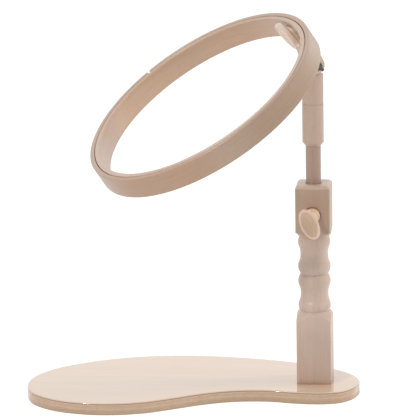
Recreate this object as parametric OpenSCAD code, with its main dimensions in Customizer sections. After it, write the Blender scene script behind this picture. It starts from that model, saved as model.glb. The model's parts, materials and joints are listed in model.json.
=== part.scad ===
// Embroidery seat stand: a bean-shaped board that the user sits on, a turned post,
// a height rod clamped by a wooden thumbscrew, and a double wooden hoop on a head
// that swivels on the rod and tilts on a forked knuckle.
// Millimetres. Z is up, X runs to the right and Y away from the front.
// The origin is on the underside of the board, under the axis of the post.

/* [Board] */
// Thickness of the plywood board
board_thickness = 13; // [11:0.5:18]
// Radius of the wide lobe that the user sits on
lobe_radius = 86.5; // [82:0.5:94]
// Distance of the lobe's centre to the left of the post
lobe_left = 216; // [205:1:235]
// Distance of the lobe's centre in front of the post
lobe_front = 21.5; // [14:0.5:26]
// Radius of the heel round the post
heel_radius = 48; // [44:0.5:54]
// Distance of the heel's centre to the left of the post
heel_left = 0.5; // [0:0.5:4]
// Distance of the heel's centre in front of the post
heel_front = 6.5; // [2:0.5:10]
// Radius of the long bow along the board's back edge
back_radius = 275; // [255:1:300]
// Radius of the hollow waist in the board's front edge
waist_radius = 154; // [135:1:170]
// Rounding of the board's top and bottom edges
board_edge = 1; // [0.5:0.25:3]

/* [Board joint] */
// Diameter of the dowel between the board and the post
dowel_d = 8; // [6:0.5:9]
// Depth of the dowel in the board
dowel_in_board = 8; // [5:0.5:8]
// Depth of the dowel in the post
dowel_in_post = 22; // [15:1:30]
// Diameter of the wood screws from below
base_screw_d = 4; // [3.5:0.5:5]
// Length of the wood screws
base_screw_length = 40; // [30:1:50]
// Diameter of the screws' countersunk heads
base_screw_head_d = 8; // [7.5:0.25:9]
// Distance between the two screws
base_screw_spacing = 22; // [20:1:24]
// Depth of the screws' heads below the underside
base_screw_recess = 0.5; // [0.3:0.1:1]

/* [Post] */
// Side of the square post
post_size = 36.5; // [34.5:0.5:40]
// Rounding of the post's long edges
post_edge = 1.2; // [0.6:0.1:2]
// Height of the lower block, from the board to the first groove
lower_block = 77.5; // [60:0.5:100]
// Height of the upper block, from the last groove to the top
upper_block = 58.5; // [50:0.5:70]
// Rounding of the upper block's top edges
post_top_edge = 4; // [2:0.5:5]
// Height of the hollow under the upper block
block_cove_height = 8; // [6:0.1:12]
// Depth of the hollow under the upper block
block_cove_depth = 2.2; // [1:0.1:3]

/* [Turned grip] */
// Length of the first and the last bead
small_bead_length = 10.4; // [9:0.1:12]
// Length of the two hollows
cove_length = 15.3; // [13:0.1:18]
// Length of the two middle beads
large_bead_length = 13.8; // [12:0.1:16]
// Radius at the crest of the beads
bead_radius = 17.1; // [16.6:0.1:17.2]
// Radius at the bottom of the hollows
cove_radius = 14.6; // [14:0.1:15]
// Radius where a bead meets a hollow
bead_foot_radius = 15.7; // [15.4:0.1:16]
// Radius of the grooves next to the blocks
end_groove_radius = 15.8; // [15.4:0.1:16.2]
// Radius of the sharp groove in the middle
middle_groove_radius = 14.2; // [13.6:0.1:14.8]

/* [Height rod] */
// Diameter of the rod
rod_d = 16; // [15:0.25:17]
// Clearance round the rod in the post's bore
rod_clearance = 0.3; // [0.2:0.05:0.4]
// Length of bare rod between the post and the sleeve at rest
rod_reach = 41; // [30:1:50]
// Length of the rod inside the post at rest
rod_inside = 90; // [85:1:100]
// How far the rod can be pushed down from rest
rod_drop = 40; // [25:1:40]
// Clearance under the rod's end when it is pushed down
rod_end_clearance = 2; // [1:0.5:4]
// Diameter of the sleeve glued on the rod
sleeve_d = 22.5; // [21:0.25:24]
// Length of the sleeve
sleeve_length = 44.3; // [35:0.1:55]
// Height of the cone at the sleeve's lower end
sleeve_cone = 3.2; // [3:0.1:6]
// Thickness of the glue line between pieces that are glued
glue_gap = 0.1; // [0.05:0.05:0.15]
// Diameter of the spindle on the rod's upper end
spindle_d = 10; // [9:0.25:11]
// Length of the spindle
spindle_length = 13.6; // [11:0.1:15]

/* [Height screw] */
// Distance of the screw's axis below the top of the post
screw_below_top = 31; // [26:0.5:36]
// Diameter of the screw's shank
screw_d = 12; // [10:0.25:13]
// Clearance round the shank and at its tip
screw_clearance = 0.3; // [0.2:0.05:0.4]
// Radius of the collar next to the post
collar_radius = 8.2; // [7:0.1:8.5]
// Length of the collar
collar_length = 5; // [4:0.25:6]
// Gap between the collar and the post when the screw is tight
collar_gap = 1; // [0.6:0.1:2]
// Radius of the smaller ring after the collar
ring_bead_radius = 6.8; // [5.6:0.1:7.2]
// Length of the smaller ring
ring_bead_length = 3; // [2:0.25:4]
// Radius of the slim neck
neck_radius = 4.2; // [3.6:0.1:5]
// Distance from the post's face to the back of the oval head
screw_head_reach = 35; // [28:0.5:38]
// Turn of the oval head from upright
screw_head_turn = 24; // [0:1:90]

/* [Oval heads] */
// Length of the oval heads
oval_length = 34.5; // [28:0.5:36]
// Width of the oval heads
oval_width = 19.2; // [18:0.2:22]
// Thickness of the oval heads
oval_thickness = 5.4; // [5.2:0.1:7]
// Width of the raised rim, measured to its crest
oval_rim = 1.4; // [1:0.1:1.8]
// Width of the rounding behind the rim
oval_back = 4; // [3:0.25:5]
// Depth of the dished front
oval_dish = 1.1; // [0.6:0.1:1.2]

/* [Swivel head] */
// Diameter of the swivel head
swivel_d = 22.3; // [21:0.1:23]
// Length of the swivel head
swivel_length = 31.6; // [26:0.1:34]
// Clearance between the swivel head and what it turns on
swivel_clearance = 0.4; // [0.3:0.1:0.6]
// Running clearance round the spindle and the bolts
running_clearance = 0.1; // [0.05:0.01:0.1]
// Chamfer on the ends of the sleeve and the head
seam_chamfer = 1; // [0.5:0.1:1.5]
// Turn of the head about the rod, from the post's right side
swivel_angle = 30.2; // [0:0.1:60]

/* [Knuckle and eye bolt] */
// Radius of the knuckle
knuckle_radius = 9.5; // [9.5:0.25:11]
// Gap between the knuckle and the swivel head
knuckle_gap = 0.5; // [0.4:0.1:1]
// Width of the hoop holder
holder_width = 20; // [18:0.5:22]
// Outer radius of the bolt's eye
eye_radius = 7.8; // [7:0.1:8]
// Thickness of the eye
eye_thickness = 7; // [6.5:0.25:8]
// Diameter of the eye bolt's shank
eye_shank_d = 6; // [5:0.25:6.25]
// Length of the shank inside the swivel head
eye_shank_inside = 11; // [8:0.5:12]
// Clearance round the eye in the fork
fork_clearance = 0.3; // [0.3:0.05:0.5]
// Diameter of the tilt bolt
tilt_bolt_d = 5; // [4.5:0.25:5.5]
// Diameter of the washers on the tilt bolt
washer_d = 12; // [10.5:0.5:14]
// Thickness of the washers
washer_thickness = 1.2; // [0.8:0.1:1.6]
// Gap between metal pieces that bear on each other
seat_gap = 0.05; // [0.02:0.01:0.1]

/* [Wing nut] */
// Length of the wing nut's hub
wing_hub_length = 5.6; // [4.5:0.1:7]
// Radius of the hub's base
wing_hub_radius = 4.4; // [4.2:0.1:5.2]
// Half the span of the wings
wing_reach = 8; // [7.5:0.25:10]
// Radius of the wings' rounded tips
wing_tip_radius = 2.8; // [2.3:0.1:3]
// Thickness of the wings
wing_thickness = 2; // [1.5:0.1:2.5]
// Turn of the wings from level at rest
wing_turn = -42; // [-90:1:90]
// Gap between the turning nut and its washer
nut_gap = 0.3; // [0.3:0.05:0.5]

/* [Hoop] */
// Outer diameter of the hoop
hoop_d = 265; // [220:1:300]
// Thickness of the bent strip of each ring
ring_thickness = 5.3; // [4.8:0.1:6]
// Gap between the rings, where the fabric is held
fabric_gap = 0.5; // [0.4:0.05:1]
// Depth of the hoop
hoop_depth = 24; // [20:0.5:28]
// Rounding of the rings' edges
ring_edge = 1.2; // [0.6:0.1:2]
// Tilt of the hoop from level at rest
hoop_tilt = 33.6; // [0:0.1:60]
// Width of the split in the outer ring
split_gap = 3; // [2:0.25:3.5]

/* [Hoop holder] */
// Height of the holder's shoulder above the knuckle's axis
shoulder_height = 31.2; // [30:0.1:38]
// Distance of the holder's outer face from the axis at the shoulder
shoulder_reach = 13.2; // [12.5:0.1:14.5]
// Distance of the tongue's inner face inside the knuckle's axis
tongue_set_in = 2.1; // [1.5:0.1:3]
// Thickness of the tongue inside the hoop
tongue_thickness = 4; // [3.5:0.1:5]
// Height of the tongue above the shoulder
tongue_height = 19.7; // [18:0.1:20]
// Rounding of the holder's edges
holder_edge = 1.8; // [1:0.1:2.2]
// Gap between the shoulder and the rings
shoulder_gap = 0.3; // [0.3:0.05:0.5]

/* [Hoop knob] */
// Diameter of the bolt through the inner ring and the tongue
hoop_bolt_d = 5; // [4:0.25:5.5]
// Diameter of the bolt's flat head
hoop_bolt_head_d = 11; // [10:0.5:12]
// Thickness of the bolt's flat head
hoop_bolt_head = 1.8; // [1.4:0.1:2]
// Length of the knob's foot, between the tongue and the oval head
knob_foot = 1.2; // [1:0.1:2]
// Radius of the knob's foot
knob_foot_radius = 6.5; // [6:0.1:7]
// Diameter of the brass insert in the knob
insert_d = 8; // [7.5:0.1:8.5]
// Length of the insert
insert_length = 4; // [3:0.1:4.2]
// Turn of the knob's oval head from the hoop's axis
knob_turn = 42; // [0:1:90]

/* [Tension screw] */
// Diameter of the tension screw
tension_d = 4; // [3:0.25:4.5]
// Distance of the tension screw's axis outside the outer ring
tension_offset = 6.2; // [6:0.1:7.5]
// Width of the lugs
lug_width = 10; // [8:0.5:12]
// Thickness of the lugs' sheet
lug_sheet = 1.2; // [1:0.1:1.5]
// Length of each lug's foot along the ring
lug_foot = 20; // [17:0.5:24]
// Distance between the lugs' ears
ear_spacing = 12; // [8:0.5:16]
// Diameter of the knurled thumb wheel
wheel_d = 9; // [8:0.25:9.5]
// Length of the thumb wheel
wheel_length = 6; // [4:0.5:7]
// Width across the captive square nut
nut_width = 7; // [6.5:0.25:8]
// Thickness of the captive nut
nut_thickness = 3.2; // [2.5:0.1:4]
// Diameter of the rivets
rivet_d = 3; // [2.5:0.25:3.5]
// Radius of the rivets' heads
rivet_head_radius = 2.6; // [2:0.1:3]
// Height of the rivets' heads
rivet_head = 0.9; // [0.6:0.1:1.2]

/* [Hidden] */
$fn = 96;
small_fn = 48;
// Overlap that makes a cut pass clear through a face
through = 1;
// Corner radius that lies outside the square post
beyond_corner = post_size * 0.75;

beech = "#c9a584";
ply = "#e3cdb8";
bent_wood = "#d6b699";
steel = "#6f6c6a";
brass = "#c7a45a";

// Heights along the post
board_top = board_thickness;
groove_1 = board_top + lower_block;
bead_1_end = groove_1 + small_bead_length;
cove_1_end = bead_1_end + cove_length;
middle_groove = cove_1_end + large_bead_length;
bead_3_end = middle_groove + large_bead_length;
cove_2_end = bead_3_end + cove_length;
groove_2 = cove_2_end + small_bead_length;
post_top = groove_2 + upper_block;

// Heights along the rod and the head
rod_bore_r = rod_d / 2 + rod_clearance;
rod_bottom = post_top - rod_inside;
rod_bore_depth = rod_inside + rod_drop + rod_end_clearance;
sleeve_bottom = post_top + rod_reach;
sleeve_top = sleeve_bottom + sleeve_length;
swivel_bottom = sleeve_top + swivel_clearance;
swivel_top = swivel_bottom + swivel_length;
pivot_height = swivel_top + knuckle_gap + knuckle_radius;

// The height screw, along its own axis from the rod outwards
screw_height = post_top - screw_below_top;
screw_tip = rod_d / 2 + screw_clearance;
post_face = post_size / 2;
collar_start = post_face + collar_gap;
ring_bead_start = collar_start + collar_length;
neck_start = ring_bead_start + ring_bead_length;
screw_head_start = post_face + screw_head_reach;

// The hoop, in the frame of the knuckle: x outwards, z along the hoop's axis.
// Its wall is measured from the tongue's inner face.
hoop_r = hoop_d / 2;
outer_ring_inside = hoop_r - ring_thickness;
inner_ring_outside = outer_ring_inside - fabric_gap;
hoop_inside = inner_ring_outside - ring_thickness;
hoop_wall = tongue_thickness + glue_gap;
hoop_centre = hoop_wall - tongue_set_in - hoop_inside;
hoop_bottom = shoulder_height + shoulder_gap;
hoop_middle = hoop_depth / 2;
knob_height = hoop_bottom + hoop_middle;

// The tilt bolt, along its own axis from the middle of the fork
cheek = holder_width / 2;
washer_start = cheek + seat_gap;
washer_end = washer_start + washer_thickness;
wing_start = washer_end + nut_gap;
wing_end = wing_start + wing_hub_length;
fork_slot = eye_thickness + 2 * fork_clearance;

// The tension screw, in the frame of the split: x outwards, y along the ring
tension_axis = hoop_r + tension_offset;
ear_start = ear_spacing / 2;
ear_end = ear_start + lug_sheet;
rivet_place = lug_foot - rivet_head_radius - through;

function mix(a, b, t) = a + (b - a) * t;

// Point where circles of radius ra round a and rb round b meet, on the front side
function front_meeting(a, ra, b, rb) =
  let (
    d = norm(b - a),
    along = (ra * ra - rb * rb + d * d) / (2 * d),
    off = sqrt(ra * ra - along * along),
    dir = (b - a) / d
  )
  a + dir * along + [dir.y, -dir.x] * off;

function bearing(from, to) = atan2(to.y - from.y, to.x - from.x);

function arc_points(centre, r, start, end, steps) =
  [for (i = [0 : steps - 1])
    let (a = mix(start, end, i / steps))
    centre + r * [cos(a), sin(a)]];

// Points from p up to q on an arc whose middle stands out by bulge, to the right of the way
function bulged(p, q, bulge, steps) =
  let (
    chord = norm(q - p),
    dir = (q - p) / chord,
    out = [dir.y, -dir.x] * sign(bulge),
    sag = abs(bulge),
    r = (chord * chord / 4 + sag * sag) / (2 * sag),
    centre = (p + q) / 2 - out * (r - sag),
    half = asin(chord / 2 / r)
  )
  [for (i = [0 : steps - 1])
    let (a = mix(-half, half, i / steps))
    centre + r * (out * cos(a) + dir * sin(a))];

// The board's outline: heel, back bow, lobe and hollow waist, each tangent to the next
lobe_centre = [-lobe_left, -lobe_front];
heel_centre = [-heel_left, -heel_front];
bow_centre = front_meeting(
  lobe_centre, back_radius - lobe_radius, heel_centre, back_radius - heel_radius);
waist_centre = front_meeting(
  lobe_centre, waist_radius + lobe_radius, heel_centre, waist_radius + heel_radius);
lobe_to_waist = bearing(lobe_centre, waist_centre);
heel_to_waist = bearing(heel_centre, waist_centre);
bow_to_lobe = bearing(bow_centre, lobe_centre);
bow_to_heel = bearing(bow_centre, heel_centre);

heel_steps = 24;

function board_outline(inset) = concat(
  arc_points(heel_centre, heel_radius - inset, heel_to_waist, bow_to_heel, heel_steps),
  arc_points(bow_centre, back_radius - inset, bow_to_heel, bow_to_lobe, 18),
  arc_points(lobe_centre, lobe_radius - inset, bow_to_lobe, lobe_to_waist + 360, 30),
  arc_points(waist_centre, waist_radius + inset, lobe_to_waist + 180, heel_to_waist + 180, 16)
);

function oval_outline(inset) =
  [for (a = [0 : 9 : 351])
    [(oval_width / 2 - inset) * cos(a), (oval_length / 2 - inset) * sin(a)]];

// Inset and height of the rings of an oval head, from its back to the middle of its dish
oval_rings = concat(
  [for (a = [0 : 30 : 90])
    [oval_back * (1 - sin(a)), (oval_thickness - oval_rim) * (1 - cos(a))]],
  [for (a = [30 : 30 : 150])
    [oval_rim * (1 - cos(a)), oval_thickness - oval_rim * (1 - sin(a))]],
  [for (t = [0.35, 0.7, 1])
    [mix(2 * oval_rim, oval_width / 2 - 1.5, t),
     oval_thickness - oval_rim / 2 - (oval_dish - oval_rim / 2) * sin(90 * t)]]
);

// A closed solid through a stack of outlines that have the same even number of points.
// Its end faces are strips across the outline, which start at the point with the number tip.
module lofted(rings, tip) {
  n = len(rings[0]);
  last = len(rings) - 1;
  function place(ring, j) = ring * n + (j + n) % n;
  function across(ring, k) = [
    place(ring, tip - k), place(ring, tip - k - 1),
    place(ring, tip + k + 1), place(ring, tip + k)];
  polyhedron(
    points = [for (ring = rings) each ring],
    faces = concat(
      [for (k = [0 : n / 2 - 2]) let (q = across(0, k)) [q[0], q[2], q[1]]],
      [for (k = [1 : n / 2 - 1]) let (q = across(0, k)) [q[0], q[3], q[2]]],
      [for (k = [0 : n / 2 - 2]) let (q = across(last, k)) [q[0], q[1], q[2]]],
      [for (k = [1 : n / 2 - 1]) let (q = across(last, k)) [q[0], q[2], q[3]]],
      [for (i = [0 : last - 1], j = [0 : n - 1])
        [place(i, j), place(i + 1, j), place(i + 1, j + 1)]],
      [for (i = [0 : last - 1], j = [0 : n - 1])
        [place(i, j), place(i + 1, j + 1), place(i, j + 1)]]
    )
  );
}

module eased_square(size, r) {
  union() {
    square([size.x - 2 * r, size.y], center = true);
    square([size.x, size.y - 2 * r], center = true);
    for (x = [-1, 1], y = [-1, 1])
      translate([x * (size.x / 2 - r), y * (size.y / 2 - r)])
        circle(r, $fn = small_fn);
  }
}

module tube(outside, inside, height) {
  difference() {
    cylinder(r = outside, h = height);
    translate([0, 0, -through])
      cylinder(r = inside, h = height + 2 * through);
  }
}

// The dished oval that both thumbscrews have, its back on the plane z = 0
module oval_head() {
  lofted(
    [for (ring = oval_rings)
      [for (p = oval_outline(ring[0])) [p.x, p.y, ring[1]]]],
    0);
}

// Places children in the frame of the knuckle, which tilts with the hoop
module on_knuckle() {
  translate([0, 0, pivot_height])
    rotate([0, -hoop_tilt, swivel_angle])
      children();
}

// Places children in the hoop's own frame, on its axis at its lower face
module on_hoop() {
  on_knuckle()
    translate([hoop_centre, 0, hoop_bottom])
      children();
}

// Places children at the split: x outwards, y along the ring, z from the hoop's middle
module at_split() {
  on_hoop()
    rotate([0, 0, 90])
      translate([0, 0, hoop_middle])
        children();
}

// Places children along the tilt bolt, with z towards the wing nut
module along_tilt_bolt() {
  on_knuckle()
    rotate([90, 0, 0])
      children();
}

// Places children along the hoop bolt, from the tongue's face towards the hoop's centre
module along_hoop_bolt() {
  on_knuckle()
    translate([-tongue_set_in, 0, knob_height])
      rotate([0, -90, 0])
        children();
}

module base_screw_places() {
  for (side = [-1, 1])
    translate([side * base_screw_spacing / 2, 0, 0])
      children();
}

module countersunk_screw(grow) {
  head_r = base_screw_head_d / 2 + grow;
  shank_r = base_screw_d / 2 + grow;
  head_height = (base_screw_head_d - base_screw_d) / 2;
  union() {
    cylinder(r1 = head_r, r2 = shank_r, h = head_height, $fn = small_fn);
    cylinder(r = shank_r, h = base_screw_length + grow, $fn = small_fn);
  }
}

module base_board() {
  steps = [0 : 30 : 90];
  color(ply)
    difference() {
      lofted(concat(
        [for (a = steps)
          [for (p = board_outline(board_edge * (1 - sin(a))))
            [p.x, p.y, board_edge * (1 - cos(a))]]],
        [for (a = steps)
          [for (p = board_outline(board_edge * (1 - cos(a))))
            [p.x, p.y, board_thickness - board_edge * (1 - sin(a))]]]
      ), heel_steps / 2);
      translate([0, 0, board_top - dowel_in_board])
        cylinder(d = dowel_d + 2 * glue_gap, h = dowel_in_board + through, $fn = small_fn);
      base_screw_places() {
        translate([0, 0, base_screw_recess])
          countersunk_screw(seat_gap);
        translate([0, 0, -through])
          cylinder(
            d = base_screw_head_d + 2 * seat_gap,
            h = base_screw_recess + through,
            $fn = small_fn);
      }
    }
}

// Radius against height of everything that the lathe cuts on the post
module post_profile() {
  bead_bulge = bead_radius - (end_groove_radius + bead_foot_radius) / 2;
  cove_bulge = cove_radius - bead_foot_radius;
  large_bulge = bead_radius - (bead_foot_radius + middle_groove_radius) / 2;
  polygon(concat(
    [[0, board_top], [beyond_corner, board_top]],
    [[beyond_corner, groove_1 - (beyond_corner - end_groove_radius)]],
    bulged([end_groove_radius, groove_1], [bead_foot_radius, bead_1_end], bead_bulge, 8),
    bulged([bead_foot_radius, bead_1_end], [bead_foot_radius, cove_1_end], cove_bulge, 8),
    bulged([bead_foot_radius, cove_1_end], [middle_groove_radius, middle_groove], large_bulge, 10),
    bulged([middle_groove_radius, middle_groove], [bead_foot_radius, bead_3_end], large_bulge, 10),
    bulged([bead_foot_radius, bead_3_end], [bead_foot_radius, cove_2_end], cove_bulge, 8),
    bulged([bead_foot_radius, cove_2_end], [end_groove_radius, groove_2], bead_bulge, 8),
    bulged([end_groove_radius, groove_2],
      [beyond_corner, groove_2 + block_cove_height], -block_cove_depth, 6),
    [[beyond_corner, groove_2 + block_cove_height], [beyond_corner, post_top], [0, post_top]]
  ));
}

// One of the two side views of the post, with its top edges rounded
module post_side_view() {
  translate([0, post_top - post_size / 2])
    eased_square([post_size, post_size], post_top_edge);
  translate([-post_face, board_top])
    square([post_size, post_top - board_top - post_size / 2]);
}

module post() {
  color(beech)
    difference() {
      intersection() {
        rotate_extrude()
          post_profile();
        translate([0, 0, board_top])
          linear_extrude(post_top - board_top)
            eased_square([post_size, post_size], post_edge);
        rotate([90, 0, 0])
          linear_extrude(post_size + 2 * through, center = true)
            post_side_view();
        rotate([90, 0, 90])
          linear_extrude(post_size + 2 * through, center = true)
            post_side_view();
      }
      translate([0, 0, post_top - rod_bore_depth])
        cylinder(r = rod_bore_r, h = rod_bore_depth + through);
      translate([0, 0, screw_height])
        rotate([90, 0, 0])
          cylinder(d = screw_d + 2 * screw_clearance, h = post_size, $fn = small_fn);
      translate([0, 0, board_top - through])
        cylinder(
          d = dowel_d + 2 * glue_gap,
          h = dowel_in_post + glue_gap + through,
          $fn = small_fn);
      base_screw_places()
        translate([0, 0, base_screw_recess])
          countersunk_screw(seat_gap);
    }
}

module dowel_pin() {
  color(beech)
    translate([0, 0, board_top - dowel_in_board + glue_gap])
      cylinder(d = dowel_d, h = dowel_in_board + dowel_in_post - glue_gap, $fn = small_fn);
}

// One wood screw with a cross recess, on the side given by the sign
module base_screw(side) {
  cross_depth = 2;
  color(steel)
    translate([side * base_screw_spacing / 2, 0, base_screw_recess])
      difference() {
        countersunk_screw(0);
        for (turn = [0, 90])
          rotate([0, 0, turn])
            translate([0, 0, cross_depth / 2 - through])
              cube([base_screw_d, 0.9, cross_depth], center = true);
      }
}

module base_screw_1() {
  base_screw(-1);
}

module base_screw_2() {
  base_screw(1);
}

module rod() {
  end_chamfer = 1;
  r = rod_d / 2;
  color(beech)
    rotate_extrude()
      polygon([
        [0, rod_bottom],
        [r - end_chamfer, rod_bottom],
        [r, rod_bottom + end_chamfer],
        [r, sleeve_top],
        [spindle_d / 2, sleeve_top],
        [spindle_d / 2, sleeve_top + spindle_length - end_chamfer],
        [spindle_d / 2 - end_chamfer, sleeve_top + spindle_length],
        [0, sleeve_top + spindle_length]
      ]);
}

module rod_sleeve() {
  inside = rod_d / 2 + glue_gap;
  r = sleeve_d / 2;
  color(beech)
    rotate_extrude()
      polygon([
        [inside, sleeve_bottom],
        [inside + 0.4, sleeve_bottom],
        [r, sleeve_bottom + sleeve_cone],
        [r, sleeve_top - seam_chamfer],
        [r - seam_chamfer, sleeve_top],
        [inside, sleeve_top]
      ]);
}

// Radius against length of the height screw, from its tip to the back of its head
module screw_profile() {
  r = screw_d / 2;
  tip_chamfer = 1;
  flare_radius = 6.5;
  collar_edge = collar_radius - 1.2;
  ring_edge_radius = ring_bead_radius - 0.8;
  polygon(concat(
    [[0, screw_tip], [r - tip_chamfer, screw_tip], [r, screw_tip + tip_chamfer]],
    [[r, post_face + collar_gap / 2], [collar_edge - 0.4, collar_start]],
    bulged([collar_edge, collar_start], [collar_edge, ring_bead_start], 1.2, 6),
    bulged([ring_edge_radius, ring_bead_start], [ring_edge_radius, neck_start], 0.8, 4),
    bulged([ring_edge_radius, neck_start], [neck_radius, neck_start + 6], -0.5, 4),
    bulged([neck_radius, neck_start + 6], [flare_radius, screw_head_start + 1], -1.6, 8),
    [[flare_radius, screw_head_start + 1], [0, screw_head_start + 1]]
  ));
}

module height_screw() {
  color(beech)
    translate([0, 0, screw_height])
      rotate([90, 0, 0])
        union() {
          rotate_extrude($fn = small_fn)
            screw_profile();
          translate([0, 0, screw_head_start])
            rotate([0, 0, screw_head_turn])
              oval_head();
        }
}

module swivel_head() {
  r = swivel_d / 2;
  bore_depth = spindle_length + swivel_clearance;
  color(beech)
    difference() {
      translate([0, 0, swivel_bottom])
        rotate_extrude()
          polygon([
            [0, 0],
            [r - seam_chamfer, 0],
            [r, seam_chamfer],
            [r, swivel_length - seam_chamfer],
            [r - seam_chamfer, swivel_length],
            [0, swivel_length]
          ]);
      translate([0, 0, swivel_bottom - through])
        cylinder(
          r = spindle_d / 2 + running_clearance,
          h = bore_depth - swivel_clearance / 2 + through,
          $fn = small_fn);
      translate([0, 0, swivel_top - eye_shank_inside - glue_gap])
        cylinder(
          d = eye_shank_d + 2 * glue_gap,
          h = eye_shank_inside + glue_gap + through,
          $fn = small_fn);
    }
}

module eye_bolt() {
  shank_length = eye_shank_inside + knuckle_gap + knuckle_radius - tilt_bolt_d;
  color(steel)
    translate([0, 0, pivot_height])
      rotate([0, 0, swivel_angle])
        difference() {
          union() {
            rotate([90, 0, 0])
              cylinder(r = eye_radius, h = eye_thickness, center = true, $fn = small_fn);
            translate([0, 0, swivel_top - pivot_height - eye_shank_inside])
              cylinder(d = eye_shank_d, h = shank_length, $fn = small_fn);
          }
          rotate([90, 0, 0])
            cylinder(
              r = tilt_bolt_d / 2 + running_clearance,
              h = eye_thickness + 2 * through,
              center = true,
              $fn = small_fn);
        }
}

// Side view of the holder: knuckle, arm, shoulder under the rings and tongue inside them
module holder_side_view() {
  tongue_top = shoulder_height + tongue_height;
  arm_top = shoulder_height - 3;
  tip_r = tongue_thickness / 2;
  face = -tongue_set_in;
  arm_foot = knuckle_radius * [-cos(18), sin(18)];
  circle(knuckle_radius);
  polygon(concat(
    [[0, 0], [knuckle_radius, 0], [shoulder_reach, shoulder_height - holder_edge]],
    [[shoulder_reach - holder_edge, shoulder_height], [face, shoulder_height]],
    bulged([face, arm_top], arm_foot, -1.5, 8),
    [arm_foot]
  ));
  translate([face, arm_top])
    square([tongue_thickness, tongue_top - arm_top - tip_r]);
  translate([face + tip_r, tongue_top - tip_r])
    circle(tip_r, $fn = small_fn);
}

// End view of the holder, seen along the hoop's radius
module holder_end_view() {
  height = shoulder_height + tongue_height + knuckle_radius;
  tongue_top_r = 7;
  translate([0, height / 2 - knuckle_radius]) {
    eased_square([holder_width, height - 2 * tongue_top_r], holder_edge);
    translate([0, tongue_top_r / 2])
      eased_square([holder_width, height - tongue_top_r], tongue_top_r);
    translate([0, -tongue_top_r / 2])
      eased_square([holder_width, height - tongue_top_r], holder_edge);
  }
}

module hoop_holder() {
  slot_r = eye_radius + 0.8;
  // The slot stays open this far above the axis, so the shank clears it at the steepest tilt
  slot_rise = eye_shank_d / 2 + 1;
  color(beech)
    difference() {
      on_knuckle()
        difference() {
          intersection() {
            rotate([90, 0, 0])
              linear_extrude(holder_width, center = true)
                holder_side_view();
            rotate([90, 0, 90])
              linear_extrude(4 * knuckle_radius, center = true)
                holder_end_view();
          }
          rotate([90, 0, 0])
            cylinder(r = slot_r, h = fork_slot, center = true, $fn = small_fn);
          translate([0, 0, slot_rise - 2 * knuckle_radius])
            cube([4 * knuckle_radius, fork_slot, 4 * knuckle_radius], center = true);
          rotate([90, 0, 0])
            cylinder(
              r = tilt_bolt_d / 2 + glue_gap,
              h = holder_width + 2 * through,
              center = true,
              $fn = small_fn);
        }
      on_hoop()
        tube(inner_ring_outside, hoop_inside - glue_gap, hoop_depth);
      along_hoop_bolt()
        cylinder(
          r = hoop_bolt_d / 2 + glue_gap,
          h = 4 * tongue_thickness,
          center = true,
          $fn = small_fn);
    }
}

module tilt_bolt() {
  head_r = washer_d / 2 - 0.6;
  head_height = 2.6;
  past_nut = 2;
  color(steel)
    along_tilt_bolt() {
      translate([0, 0, -washer_end - seat_gap])
        cylinder(d = tilt_bolt_d, h = washer_end + wing_end + past_nut + seat_gap, $fn = small_fn);
      translate([0, 0, -washer_end - seat_gap])
        rotate([180, 0, 0])
          rotate_extrude($fn = small_fn)
            polygon(concat(
              [[0, 0]],
              bulged([head_r, 0], [0, head_height], 1.2, 8),
              [[0, head_height]]
            ));
    }
}

module tilt_washer() {
  tube(washer_d / 2, tilt_bolt_d / 2 + seat_gap, washer_thickness, $fn = small_fn);
}

module tilt_washer_near() {
  color(steel)
    along_tilt_bolt()
      translate([0, 0, washer_start])
        tilt_washer();
}

module tilt_washer_far() {
  color(steel)
    along_tilt_bolt()
      translate([0, 0, -washer_end])
        tilt_washer();
}

// One wing's outline: x along the span, y along the bolt
module wing_outline() {
  tip_x = wing_reach - wing_tip_radius;
  tip_y = wing_hub_length - 0.4;
  polygon([
    [0, 0.6], [wing_hub_radius, 0.6],
    [tip_x + wing_tip_radius * 0.7, tip_y - wing_tip_radius * 0.7],
    [tip_x - wing_tip_radius * 0.7, tip_y + wing_tip_radius * 0.7],
    [0, wing_hub_length - 1]
  ]);
  translate([tip_x, tip_y])
    circle(wing_tip_radius, $fn = small_fn);
}

module wing_nut() {
  color(steel)
    along_tilt_bolt()
      rotate([0, 0, wing_turn - hoop_tilt])
        translate([0, 0, wing_start])
          difference() {
            union() {
              cylinder(
                r1 = wing_hub_radius,
                r2 = wing_hub_radius - 1,
                h = wing_hub_length,
                $fn = small_fn);
              for (turn = [0, 180])
                rotate([90, 0, turn])
                  linear_extrude(wing_thickness, center = true)
                    wing_outline();
            }
            translate([0, 0, -through])
              cylinder(
                r = tilt_bolt_d / 2 + running_clearance,
                h = wing_hub_length + 2 * through,
                $fn = small_fn);
            translate([0, 0, wing_hub_length])
              cylinder(
                r = tilt_bolt_d / 2 + running_clearance,
                h = 2 * wing_tip_radius,
                $fn = small_fn);
          }
}

// Section of one bent ring, between two radii
module ring_section(inside) {
  translate([inside + ring_thickness / 2, hoop_middle])
    eased_square([ring_thickness, hoop_depth], ring_edge);
}

module inner_hoop() {
  color(bent_wood)
    difference() {
      on_hoop()
        rotate_extrude($fn = 2 * $fn)
          ring_section(hoop_inside);
      along_hoop_bolt() {
        cylinder(
          r = hoop_bolt_d / 2 + glue_gap,
          h = 4 * hoop_wall,
          center = true,
          $fn = small_fn);
        translate([0, 0, -hoop_wall - ring_thickness - through])
          cylinder(
            d = hoop_bolt_head_d + 2 * glue_gap,
            h = hoop_bolt_head + through + 2 * glue_gap,
            $fn = small_fn);
      }
    }
}

module hoop_bolt() {
  head_face = -hoop_wall - ring_thickness + glue_gap;
  color(steel)
    along_hoop_bolt()
      translate([0, 0, head_face])
        union() {
          cylinder(d = hoop_bolt_head_d, h = hoop_bolt_head, $fn = small_fn);
          cylinder(
            d = hoop_bolt_d,
            h = -head_face + nut_gap + insert_length - glue_gap,
            $fn = small_fn);
        }
}

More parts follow.
